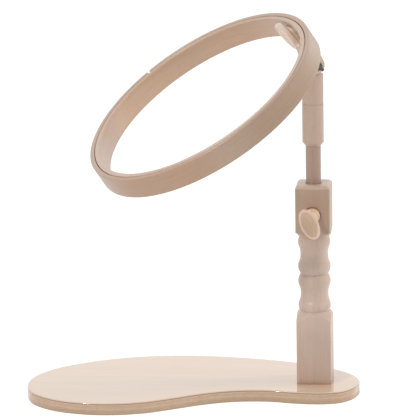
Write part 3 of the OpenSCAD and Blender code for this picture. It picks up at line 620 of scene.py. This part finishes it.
def cut(made, some_skin, crease=CREASE, operation="DIFFERENCE"):
    """Takes a second skin's volume out of an object, or adds it with operation UNION."""
    tool = solid("tool", some_skin)
    modifier = made.modifiers.new("cut", "BOOLEAN")
    modifier.solver = "EXACT"
    modifier.operation = operation
    modifier.object = tool
    apply_modifiers(made, crease)
    bpy.data.objects.remove(tool)
    shell = bmesh.new()
    shell.from_mesh(made.data)
    bmesh.ops.remove_doubles(shell, verts=shell.verts, dist=WELD)
    bmesh.ops.dissolve_degenerate(shell, edges=shell.edges, dist=SLIVER)
    shell.to_mesh(made.data)
    shell.free()


def fused(name, first_skin, *skins, crease=ROUND_CREASE):
    """One closed skin made of several that overlap, with nothing left inside."""
    made = solid(name, first_skin, crease)
    for some_skin in skins:
        cut(made, some_skin, crease, "UNION")
    return made


def eased(made, width, segments):
    """Rounds the sharp edges of an object."""
    modifier = made.modifiers.new("ease", "BEVEL")
    modifier.width = width
    modifier.segments = segments
    modifier.limit_method = "ANGLE"
    modifier.angle_limit = math.radians(EASED_FROM)
    modifier.use_clamp_overlap = True
    apply_modifiers(made)


def stands_for(made, finish, body, slot, *names):
    """Gives a piece its finish and its body, and lets it stand for CAD nodes."""
    made.data.materials.clear()
    made.data.materials.append(finish)
    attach(made, body)
    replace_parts(made, *names)
    print(made.name, "has", len(made.data.polygons), "faces")


def outline(radii, z):
    """One outline round Z at one height, with a radius for each of its directions."""
    n = len(radii)
    return [(r * math.cos(math.tau * j / n), r * math.sin(math.tau * j / n), z)
            for j, r in enumerate(radii)]


def turned(profile, steps=96, closed=False):
    """Turns a list of (radius, height) pairs round Z."""
    return skin([outline([r] * steps, z) for r, z in profile], closed)


def plug(radius, low, high, steps=48):
    """A plain round piece: a shank, or what a drill takes away."""
    return turned([(radius, low), (radius, high)], steps)


def quarter(steps, start=0):
    """The angles of a quarter turn, both ends with it, from a direction in degrees on."""
    return [math.radians(start + 90 * i / steps) for i in range(steps + 1)]


def arc(start, end, bulge, steps):
    """Points from start up to end on an arc that stands out by bulge, to the right of the way."""
    p, q = Vector(start), Vector(end)
    chord = (q - p).length
    way = (q - p) / chord
    out_way = Vector((way.y, -way.x)) * math.copysign(1, bulge)
    sag = abs(bulge)
    radius = (chord * chord / 4 + sag * sag) / (2 * sag)
    centre = (p + q) / 2 - out_way * (radius - sag)
    half = math.asin(chord / 2 / radius)
    return [tuple(centre + radius * (out_way * math.cos(a) + way * math.sin(a)))
            for a in (half * (2 * i / steps - 1) for i in range(steps))]


def rounded(corner, radius, start, steps=5):
    """A quarter round at a profile's corner, from one direction on, counter-clockwise."""
    x, y = corner
    return [(x + radius * math.cos(a), y + radius * math.sin(a)) for a in quarter(steps, start)]


# %% [markdown]
# The post is planed square and then turned in the middle. On the real one the lathe cuts through
# the four faces at each end of the turned length, which leaves an arch on every face. Cutting
# one solid with another would give a ragged arch, so every column of points finds its own
# height where the turned surface leaves the planed face, and gets its eased arris there.

# %% Post: measures and profile
POST_SIDE, POST_CORNER = 36.5, 1.9
POST_FACE = POST_SIDE / 2
ARRIS, FOOT_ARRIS, TOP_ROUND = 0.5, 0.4, 4
ROD_BORE, ROD_BORE_END = 8.3, 96.0
BOARD_TOP = 13.0
LENGTHS = [77.5, 10.4, 15.3, 13.8, 13.8, 15.3, 10.4, 58.5]
HEIGHTS = [BOARD_TOP + sum(LENGTHS[:i]) for i in range(len(LENGTHS) + 1)]
GROOVE_1, BEAD_1, COVE_1, MIDDLE, BEAD_3, COVE_2, GROOVE_2, POST_TOP = HEIGHTS[1:]
END_GROOVE, BEAD_FOOT, BEAD_CREST, COVE_LOW, MIDDLE_GROOVE = 15.8, 15.7, 17.1, 14.6, 14.2
print("post is", POST_TOP - BOARD_TOP, "mm long")


def square_reach(angle, half):
    """Distance from the axis to the side of an eased square, in one direction."""
    folded = abs((angle + math.pi / 4) % (math.pi / 2) - math.pi / 4)
    straight, flat = half / math.cos(folded), half - POST_CORNER
    if straight * math.sin(folded) <= flat:
        return straight
    k = flat * (math.cos(folded) + math.sin(folded))
    return k + math.sqrt(k * k - 2 * flat ** 2 + POST_CORNER ** 2)


edge = math.atan2(POST_FACE - POST_CORNER, POST_FACE)
side = [edge * (i / 14 - 1) for i in range(28)]
corner = [edge + (math.pi / 2 - 2 * edge) * i / 6 for i in range(6)]
ANGLES = [q * math.pi / 2 + a for q in range(4) for a in side + corner]

bead = BEAD_CREST - (END_GROOVE + BEAD_FOOT) / 2
crest = BEAD_CREST - (BEAD_FOOT + MIDDLE_GROOVE) / 2
hollow = COVE_LOW - BEAD_FOOT
grip = (
    arc((END_GROOVE, GROOVE_1), (BEAD_FOOT, BEAD_1), bead, 16)
    + arc((BEAD_FOOT, BEAD_1), (BEAD_FOOT, COVE_1), hollow, 20)
    + arc((BEAD_FOOT, COVE_1), (MIDDLE_GROOVE, MIDDLE), crest, 24)
    + arc((MIDDLE_GROOVE, MIDDLE), (BEAD_FOOT, BEAD_3), crest, 24)
    + arc((BEAD_FOOT, BEAD_3), (BEAD_FOOT, COVE_2), hollow, 20)
    + arc((BEAD_FOOT, COVE_2), (END_GROOVE, GROOVE_2), bead, 16))
BEYOND = POST_SIDE * 0.75
under_block = arc((END_GROOVE, GROOVE_2), (BEYOND, GROOVE_2 + 8), -2.2, 60)
print("grip has", len(grip), "points")

# %% Post: columns and rings
def on_cove(reach):
    """Height at which the hollow under the upper block reaches a radius."""
    for (r0, z0), (r1, z1) in zip(under_block, under_block[1:]):
        if r1 >= reach:
            return z0 + (z1 - z0) * (reach - r0) / (r1 - r0)
    return under_block[-1][1]


def post_column(angle):
    """All points of one column, from the foot, over the top and down into the rod's bore."""
    reach = square_reach(angle, POST_FACE)
    meet = GROOVE_1 - (reach - END_GROOVE)
    foot = BOARD_TOP + FOOT_ARRIS
    column = [(reach - FOOT_ARRIS, BOARD_TOP), (reach, foot)]
    column += [(reach, foot + (meet - ARRIS - foot) * i / 16) for i in range(1, 17)]
    slope = math.sqrt(0.5) * ARRIS
    column.append((reach - slope / 4, meet + (slope - ARRIS) / 4))
    column += [(reach - slope + (END_GROOVE - reach + slope) * i / 6,
                meet + slope + (GROOVE_1 - meet - slope) * i / 6) for i in range(6)]
    column += grip
    low_reach = reach - ARRIS * 0.8
    top_meet = on_cove(reach)
    under = [END_GROOVE + (low_reach - END_GROOVE) * i / 8 for i in range(9)]
    column += [(r, on_cove(r) if i else GROOVE_2) for i, r in enumerate(under)]
    column.append((reach - ARRIS * 0.2, top_meet + ARRIS * 0.2))
    start, top = top_meet + ARRIS, POST_TOP - TOP_ROUND
    column += [(reach, start + (top - start) * i / 12) for i in range(12)]
    column += [(square_reach(angle, POST_FACE + TOP_ROUND * (math.cos(a) - 1)),
                top + TOP_ROUND * math.sin(a)) for a in quarter(8)]
    last = column[-1][0]
    column += [(last - 0.4, POST_TOP), (last * 0.5 + 4.6, POST_TOP), (9.2, POST_TOP),
               (8.9, POST_TOP), (8.45, POST_TOP - 0.15), (ROD_BORE, POST_TOP - 0.6),
               (ROD_BORE, ROD_BORE_END)]
    return column


columns = [post_column(a) for a in ANGLES]
post_rings = [[(c[i][0] * math.cos(a), c[i][0] * math.sin(a), c[i][1])
               for a, c in zip(ANGLES, columns)] for i in range(len(columns[0]))]
post = solid("turned_post", placed(skin(post_rings)), ROUND_CREASE)

DOWEL_BORE, DOWEL_LOW, DOWEL_HIGH = 4.1, 5, 35.1
BASE_SCREWS = (-11, 11)
SCREW_HEIGHT = POST_TOP - 31
screw_way = from_axes((1, 0, 0), (0, 0, 1), (0, -1, 0), (0, 0, SCREW_HEIGHT * MM))
tapped = turned([(6.3, 0), (6.3, POST_FACE - 1.4), (8.7, POST_FACE - 1.2),
                 (8.9, POST_FACE + 0.1), (8.9, 25)], 64)
countersunk = turned([(4.05, -1), (4.05, 0.5), (2.05, 2.5), (2.05, 40.6)], 40)
screw_bores = [placed(countersunk, Matrix.Translation((x * MM, 0, 0))) for x in BASE_SCREWS]
cut(post, joined(placed(tapped, screw_way), placed(plug(DOWEL_BORE, DOWEL_LOW, DOWEL_HIGH)),
                 *screw_bores), ROUND_CREASE)
print("post's columns:", len(columns), "rings:", len(post_rings))
stands_for(post, post_wood, "stand", "beech", "post")

# %% [markdown]
# The rod slides in the post. A sleeve is glued on it, and the swivel head turns on its spindle.
# All three are plain turned pieces, so their profiles are short lists of radius and height.
# The ends that meet get a small round lip each, which shows as a fine soft line.

# %% Rod, sleeve and swivel head
ROD_BOTTOM, SLEEVE_BOTTOM, SLEEVE_TOP = POST_TOP - 90, POST_TOP + 41, POST_TOP + 85.3
SWIVEL_BOTTOM, SWIVEL_TOP = SLEEVE_TOP + 0.23, SLEEVE_TOP + 32.0
SLEEVE_R, SWIVEL_R, LIP = 11.25, 11.15, 0.45

rod_profile = (
    [(7.0, ROD_BOTTOM), (7.7, ROD_BOTTOM + 0.3), (8, ROD_BOTTOM + 1)]
    + [(8, SLEEVE_TOP - 0.4), (7.6, SLEEVE_TOP), (5, SLEEVE_TOP), (5, SLEEVE_TOP + 12.6)]
    + [(4.7, SLEEVE_TOP + 13.3), (4, SLEEVE_TOP + 13.6)])
rod = solid("sliding_rod", placed(turned(rod_profile)))
stands_for(rod, rod_wood, "height_rod", "beech", "rod")

cone_top = SLEEVE_BOTTOM + 3.2
sleeve_profile = (
    [(8.1, SLEEVE_BOTTOM + 0.1), (8.6, SLEEVE_BOTTOM), (10.9, SLEEVE_BOTTOM + 2.75)]
    + [(11.14, cone_top - 0.05), (SLEEVE_R, cone_top + 0.4), (SLEEVE_R, SLEEVE_TOP - 8)]
    + rounded((SLEEVE_R - LIP, SLEEVE_TOP + 0.2 - LIP), LIP, 0)
    + [(8.1, SLEEVE_TOP + 0.2)])
sleeve = solid("glued_sleeve", placed(turned(sleeve_profile, 128, closed=True)))
stands_for(sleeve, sleeve_wood, "height_rod", "beech", "rod_sleeve")

head_profile = (
    [(5.1, SWIVEL_BOTTOM + 13.8), (5.1, SWIVEL_BOTTOM)]
    + rounded((SWIVEL_R - LIP, SWIVEL_BOTTOM + LIP), LIP, -90)
    + [(SWIVEL_R, SWIVEL_TOP - 8)]
    + rounded((SWIVEL_R - 1, SWIVEL_TOP - 1), 1, 0)
    + [(3.4, SWIVEL_TOP), (3.1, SWIVEL_TOP - 0.3), (3.1, SWIVEL_TOP - 11.1)])
swivel = solid("turned_head", placed(turned(head_profile, 128)))
stands_for(swivel, sleeve_wood, "head", "beech", "swivel_head")

# %% [markdown]
# The board is cut from plywood along a free bean-shaped line. A few points along that line and
# a smooth closed curve through them are what a maker would draw on a template. The same curve,
# drawn in a little at the top and bottom, gives the rounding that the varnish shines on.

# %% Board
TEMPLATE = [
    (45.9, -17), (47.2, -3), (42.2, 14), (29.4, 31.6), (12, 45.6), (-9, 57.4), (-34, 68),
    (-64.3, 76.7), (-97.4, 83.2), (-130.9, 86.5), (-164.6, 85.3), (-197.6, 78.8),
    (-229.1, 66.7), (-257.9, 49.3), (-282.9, 26.8), (-299.6, -2.3), (-303.2, -35),
    (-292.7, -67.2), (-267.6, -90.2), (-235.9, -101.2), (-203, -102.0), (-170.6, -93.2),
    (-141, -75.8), (-112.2, -58.0), (-80.9, -46.0), (-48, -43.3), (-18, -49.0),
    (8, -50.6), (29, -45), (41, -31.5)]
BOARD_EDGE = 1.3
STEPS_BETWEEN = 12


def smooth_loop(points, steps):
    """A closed curve through points. Each piece leaves and arrives along its neighbours' chord."""
    loop, n = [], len(points)
    for i in range(n):
        before, a, b, after = (Vector(points[(i + k) % n]) for k in (-1, 0, 1, 2))
        for s in range(steps):
            t = s / steps
            loop.append(0.5 * (2 * a + (b - before) * t
                               + (2 * before - 5 * a + 4 * b - after) * t * t
                               + (3 * a - before - 3 * b + after) * t ** 3))
    return loop


def drawn_in(loop, inset):
    """The same loop, moved inwards by inset along its own normals."""
    n, moved = len(loop), []
    for i, p in enumerate(loop):
        way = (loop[(i + 1) % n] - loop[i - 1]).normalized()
        moved.append(p + Vector((-way.y, way.x)) * inset)
    return moved


template = smooth_loop(TEMPLATE, STEPS_BETWEEN)
board_levels = [(BOARD_EDGE + 0.5, 0.0)]
board_levels += [(BOARD_EDGE * (1 - math.sin(a)), BOARD_EDGE * (1 - math.cos(a)))
                 for a in quarter(6)]
board_levels += [(0, 4), (0, 9)]
board_levels += [(BOARD_EDGE * (1 - math.cos(a)), BOARD_TOP - BOARD_EDGE * (1 - math.sin(a)))
                 for a in quarter(6)]
board_levels += [(BOARD_EDGE + 0.5, BOARD_TOP)]
board_rings = [[(p.x, p.y, z) for p in drawn_in(template, inset)] for inset, z in board_levels]
board = solid("seat_board", placed(skin(board_rings)))
cut(board, joined(placed(plug(DOWEL_BORE, DOWEL_LOW, BOARD_TOP + 7)), *screw_bores))
stands_for(board, plywood, "stand", "plywood", "base_board")

# %% [markdown]
# Wooden thumbscrews have a dished oval head, so that thumb and finger find a hold. The rim is a
# round bead, the dish falls from it to the middle, and the back is rounded over. Outlines of
# one ellipse, drawn in step by step, follow that shape from the back to the middle of the dish.

# %% Oval heads and threads
OVAL_LENGTH, OVAL_WIDTH, OVAL_THICK = 34.5, 19.2, 5.4
OVAL_RIM, OVAL_BACK, OVAL_DISH, OVAL_FLOOR = 1.7, 4.0, 2.5, 0.6
OVAL_WAYS = [math.tau * j / 96 for j in range(96)]
LEVELS_A_PITCH = 8


def oval_head(turn_degrees, start, back=OVAL_BACK, below=0.0, dish=OVAL_DISH):
    """An oval head that starts at a height. Its back may reach further below that height."""
    rise = OVAL_THICK - OVAL_RIM + below
    levels = [(back * (1 - math.sin(a)), rise * (1 - math.cos(a)) - below) for a in quarter(8)]
    for i in range(1, 14):
        a = math.radians(150 * i / 13)
        levels.append((OVAL_RIM * (1 - math.cos(a)), OVAL_THICK - OVAL_RIM * (1 - math.sin(a))))
    last_inset, last_z = levels[-1]
    for i in range(1, 13):
        t = i / 12
        levels.append((last_inset + (OVAL_WIDTH / 2 - OVAL_FLOOR - last_inset) * t,
                       last_z - (dish - OVAL_THICK + last_z) * math.sin(math.pi / 2 * t)))
    c, s = math.cos(math.radians(turn_degrees)), math.sin(math.radians(turn_degrees))
    rings = []
    for inset, z in levels:
        half_x, half_y = OVAL_WIDTH / 2 - inset, OVAL_LENGTH / 2 - inset
        ellipse = [(half_x * math.cos(a), half_y * math.sin(a)) for a in OVAL_WAYS]
        rings.append([(c * x - s * y, s * x + c * y, z + start) for x, y in ellipse])
    return skin(rings)


def threaded(crest, root, pitch, start, end, steps=32):
    """A screw thread: the radius rises and falls with the height and with the way round."""
    rings = []
    count = max(2, round((end - start) / pitch * LEVELS_A_PITCH))
    for i in range(count + 1):
        z = start + (end - start) * i / count
        fade = min(1, (end - z) / pitch, (z - start) / pitch)
        phases = [(z / pitch - j / steps) % 1 for j in range(steps)]
        rings.append(outline([crest - (crest - root) * (0.35 + 0.65 * abs(2 * phase - 1) * fade)
                              for phase in phases], z))
    return skin(rings)


# %% Height screw
SCREW_REACH, SCREW_TURN = 35, 24
collar, screw_head = POST_FACE + 1, POST_FACE + SCREW_REACH
stem_profile = (
    [(5.2, POST_FACE - 1), (5.6, POST_FACE), (6.5, collar - 0.1)]
    + arc((7.0, collar), (7.0, collar + 5), 1.2, 14)
    + [(6.7, collar + 5.05)]
    + arc((6.0, collar + 5.15), (6.0, collar + 8), 0.8, 10)
    + arc((6.0, collar + 8), (4.2, collar + 14), -0.5, 8)
    + arc((4.2, collar + 14), (6.5, screw_head + 1), -1.6, 16)
    + [(6.5, screw_head + 1)])
height_screw = fused("height_thumbscrew", placed(turned(stem_profile, 72), screw_way),
                     placed(oval_head(SCREW_TURN, screw_head), screw_way),
                     placed(threaded(6.0, 5.0, 3.0, 8.4, POST_FACE - 0.6, 48), screw_way))
screw_crest = screw_way @ Vector((0, 0, (screw_head + OVAL_THICK) * MM))
screw_wood = thumb_wood("beech_thumbscrew", screw_crest, screw_way.to_3x3() @ Vector((0, 0, 1)),
                        (90, 0, 0), (0.72, 0.50, 0.335), (0.57, 0.375, 0.235), (0.88, 0.65, 0.53))
stands_for(height_screw, screw_wood, "height_thumbscrew", "beech", "height_screw")

# %% [markdown]
# Knob, tilt bolt and tension screw stand in the tilted head. Each is drawn upright, in
# millimetres, and a matrix whose third axis is the piece's own then puts it in its place.

# %% Ways into the tilted head
HOOP_MIDDLE = (-119.4, 0, 43.5)
KNOB_SEAT, SPLIT_OUT = -2.1, 138.7
knob_way = head_frame @ from_axes((0, 0, 1), (0, 1, 0), (-1, 0, 0),
                                  (KNOB_SEAT * MM, 0, HOOP_MIDDLE[2] * MM))
tilt_way = head_frame @ from_axes((1, 0, 0), (0, 0, 1), (0, -1, 0), (0, 0, 0))
tension_way = head_frame @ from_axes(
    (0, 1, 0), (0, 0, -1), (-1, 0, 0),
    (HOOP_MIDDLE[0] * MM, SPLIT_OUT * MM, HOOP_MIDDLE[2] * MM))
print("knob stands at", knob_way.translation.to_tuple(4))

# %% Hoop knob
KNOB_TURN, KNOB_START, KNOB_BACK, KNOB_BELOW, KNOB_DISH = -48, 1.5, 2.0, 1.2, 1.4
knob_skin = oval_head(KNOB_TURN, KNOB_START, KNOB_BACK, KNOB_BELOW, KNOB_DISH)
knob = solid("hoop_knob_head", placed(knob_skin, knob_way), ROUND_CREASE)
knob_crest = knob_way @ Vector((0, 0, (KNOB_START + OVAL_THICK) * MM))
knob_wood = thumb_wood("beech_hoop_knob", knob_crest, knob_way.to_3x3() @ Vector((0, 0, 1)),
                       (0, 60, 0), (0.74, 0.565, 0.455), (0.61, 0.44, 0.34), (0.86, 0.68, 0.60))
cut(knob, placed(plug(4.1, -1, 4.4), knob_way), ROUND_CREASE)
stands_for(knob, knob_wood, "hoop_thumbscrew", "beech", "hoop_knob")

# %% [markdown]
# Each ring of the hoop is a planed strip bent round and glued. Its section is a flat rectangle
# with rounded edges, swept round the hoop's axis in small steps. The outer ring is left open at
# its split, and its two ends are eased there by drawing the section in.

# %% Rings
RING, DEPTH, RING_EDGE = 5.3, 24.0, 1.2
INNER_INSIDE, OUTER_INSIDE = 121.4, 127.2
SPLIT_HALF, SPLIT_EASE = 1.5, 0.4


def strip_section(inside, inset=0.0):
    half_w, half_h, r = RING / 2 - inset, DEPTH / 2 - inset, RING_EDGE - inset
    middle = inside + RING / 2
    section = []
    for k, (sx, sy) in enumerate(((1, -1), (1, 1), (-1, 1), (-1, -1))):
        section += rounded((middle + sx * (half_w - r), sy * (half_h - r)), r, 90 * k - 90, 6)
        if k % 2 == 0:
            section += [(middle + sx * half_w, sy * (half_h - r) * t)
                        for t in (0.97, 0.5, 0, -0.5, -0.97)]
        else:
            section += [(middle + sx * (half_w - r) * t, sy * half_h) for t in (0.8, 0, -0.8)]
    return section


def bent(inside, turns_and_insets, closed):
    rings = [[(HOOP_MIDDLE[0] + r * math.cos(a), r * math.sin(a), HOOP_MIDDLE[2] + z)
              for r, z in strip_section(inside, inset)] for a, inset in turns_and_insets]
    return placed(skin(rings, closed), head_frame)


ROUND_STEPS = 360
whole_turn = [(math.tau * i / ROUND_STEPS, 0) for i in range(ROUND_STEPS)]
inner_ring = solid("inner_ring", bent(INNER_INSIDE, whole_turn, True), ROUND_CREASE)
cut(inner_ring, placed(plug(5.6, -12, -7.4, 64), knob_way), ROUND_CREASE)
cut(inner_ring, placed(plug(2.6, -8, 2, 40), knob_way), ROUND_CREASE)
stands_for(inner_ring, inner_wood, "hoop_arm", "bentwood", "inner_hoop")

outer_middle = OUTER_INSIDE + RING / 2
half_split, ease = math.asin(SPLIT_HALF / outer_middle), SPLIT_EASE / outer_middle
first, last = math.pi / 2 + half_split, math.pi / 2 + math.tau - half_split
turns = [(first, SPLIT_EASE), (first + ease * 0.3, 0.12), (first + ease, 0)]
turns += [(first + ease + (last - first - 2 * ease) * i / ROUND_STEPS, 0)
          for i in range(1, ROUND_STEPS)]
turns += [(last - ease, 0), (last - ease * 0.3, 0.12), (last, SPLIT_EASE)]
outer_ring = solid("outer_ring_strip", bent(OUTER_INSIDE, turns, False), ROUND_CREASE)
stands_for(outer_ring, outer_wood, "outer_ring", "bentwood", "outer_hoop")

# %% [markdown]
# Small metal parts show a bright line wherever two faces meet, because tumbling rounds their
# edges a little. Their CAD shapes are right but quite sharp, so each gets a copy whose edges
# are eased by a bevel. Split points of the import are merged first, or no edge would be found.

# %% Eased copies of CAD solids
def eased_copy(name, new_name, width):
    mesh = nodes[name].data.copy()
    shell = bmesh.new()
    shell.from_mesh(mesh)
    bmesh.ops.remove_doubles(shell, verts=shell.verts, dist=SLIVER)
    bmesh.ops.dissolve_limit(shell, angle_limit=math.radians(0.8), verts=shell.verts,
                             edges=shell.edges)
    shell.to_mesh(mesh)
    shell.free()
    made = object_of(new_name, mesh)
    eased(made, width * MM, 2)
    return made


# CAD node, new piece, width of its eased edges in mm, finish, body and slot
COPIES = [
    ("tilt_washer_near", "near_washer", 0.25, zinc_steel, "hoop_arm", "dark_steel"),
    ("tilt_washer_far", "far_washer", 0.25, zinc_steel, "hoop_arm", "dark_steel"),
    ("tension_lug_1", "lug_right", 0.2, dark_steel, "outer_ring", "dark_steel"),
    ("tension_lug_2", "lug_left", 0.2, dark_steel, "outer_ring", "dark_steel"),
    ("tension_nut", "square_nut", 0.35, brass, "outer_ring", "brass"),
    ("hoop_holder", "forked_holder", 0.5, holder_wood, "hoop_arm", "beech"),
]
for node_name, new_name, width, finish, body, slot in COPIES:
    stands_for(eased_copy(node_name, new_name, width), finish, body, slot, node_name)

# %% [markdown]
# The wing nut clamps the tilt. It is cast: a hub that narrows to its end and two thick rounded
# wings. Each wing is an outline with an even thickness whose edges are then rounded well over.
# The bolt through the knuckle is turned, with a domed head and a thread for the nut.

# %% Wing nut and tilt bolt
HUB_START, HUB_LENGTH = 11.55, 5.6
HOOP_LEAN, WING_TURN, WING_ROUND, WING_HALF = 33.6, -42, 2.1, 1.6
BOLT_HEAD, BOLT_CROWN = 5.4, 2.1
wing_turn = Matrix.Rotation(math.radians(WING_TURN - HOOP_LEAN), 4, "Z")
wing_line = [(0.5, 0.7), (4.0, 0.7)]
for a in map(math.radians, range(-45, 181, 15)):
    wing_line.append((4.2 + WING_ROUND * math.cos(a), 5.2 + WING_ROUND * math.sin(a)))
wing_line.append((0.5, 5.6))
wings = [skin([[(side * x, y, HUB_START + z) for x, z in wing_line]
               for y in (-WING_HALF, WING_HALF)]) for side in (1, -1)]
hub_profile = [(2.6, 0), (4.1, 0), (4.9, 0.3), (4.8, 1.4), (3.9, 5.2), (3.6, HUB_LENGTH),
               (2.6, HUB_LENGTH)]
hub = turned([(r, HUB_START + z) for r, z in hub_profile], 48)
cast_nut = solid("cast_wing_nut", placed(joined(*wings), tilt_way @ wing_turn))
eased(cast_nut, 0.8 * MM, 4)
cut(cast_nut, placed(hub, tilt_way), operation="UNION")
cut(cast_nut, placed(plug(2.6, HUB_START - 1, HUB_START + 12, 40), tilt_way))
stands_for(cast_nut, dark_steel, "tilt_nut", "dark_steel", "wing_nut")

crown = [(BOLT_HEAD * math.cos(a), -11.8 - BOLT_CROWN * math.sin(a))
         for a in map(math.radians, range(5, 86, 8))]
bolt_head = turned([(2.4, -11.25), (4.9, -11.3), (BOLT_HEAD, -11.6)] + crown, 64)
shank = plug(2.5, -11.9, 6.25)
bolt_thread = threaded(2.5, 2.1, 0.8, 6.0, 19.1)
tilt_bolt = fused("tilt_bolt_turned", placed(bolt_head, tilt_way), placed(shank, tilt_way),
                  placed(bolt_thread, tilt_way), crease=60)
stands_for(tilt_bolt, dark_steel, "hoop_arm", "dark_steel", "tilt_bolt")

# %% [markdown]
# The tension screw draws the split together. It is turned from brass, with a fine thread and a
# knurled wheel: knurling presses small ridges all round, so the wheel's radius rises and falls
# 24 times a turn, and the ridges fade at both ends where the wheel is chamfered.

# %% Tension screw
WHEEL_START, WHEEL_LENGTH, WHEEL_R = 7.5, 6.0, 4.5
KNURLS, KNURL_DEPTH = 24, 0.45
ridges = [abs(math.cos(math.tau * j / (KNURLS * 8) * KNURLS / 2)) ** 0.6
          for j in range(KNURLS * 8)]
# height on the wheel, how far its chamfer draws it in, and the share of the knurling
wheel_levels = [(0, -0.9, 0), (0.05, -0.55, 0), (0.6, 0, 1), (WHEEL_LENGTH / 2, 0, 1),
                (WHEEL_LENGTH - 0.6, 0, 1), (WHEEL_LENGTH - 0.05, -0.55, 0),
                (WHEEL_LENGTH, -0.9, 0)]
wheel = skin([outline([WHEEL_R + grow - KNURL_DEPTH * share * (1 - ridge) for ridge in ridges],
                      WHEEL_START + z) for z, grow, share in wheel_levels])
wheel_thread = threaded(2.0, 1.7, 0.7, -12.3, WHEEL_START + 0.2, 28)
tension_screw = fused("knurled_screw", placed(wheel, tension_way),
                      placed(wheel_thread, tension_way), crease=60)
stands_for(tension_screw, brass, "ring_screw", "brass", "tension_screw")

# %% [markdown]
# Of the hidden fasteners little or nothing shows, so their CAD solids stay and get a finish.

# %% Finishes for the CAD solids that stay
FINISHES = {
    post_wood: ["dowel_pin"],
    dark_steel: ["base_screw_1", "base_screw_2", "eye_bolt", "hoop_bolt"],
    brass: ["knob_insert", "lug_rivet_1", "lug_rivet_2"],
}
replaced = {name for piece in bpy.data.objects for name in piece.get("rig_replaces", [])}
for finish, names in [*FINISHES.items(), (post_wood, sorted(replaced))]:
    for name in names:
        slots = nodes[name].data.materials
        slots.clear()
        slots.append(finish)
print("CAD solids that stay:", sorted(set(nodes) - replaced))
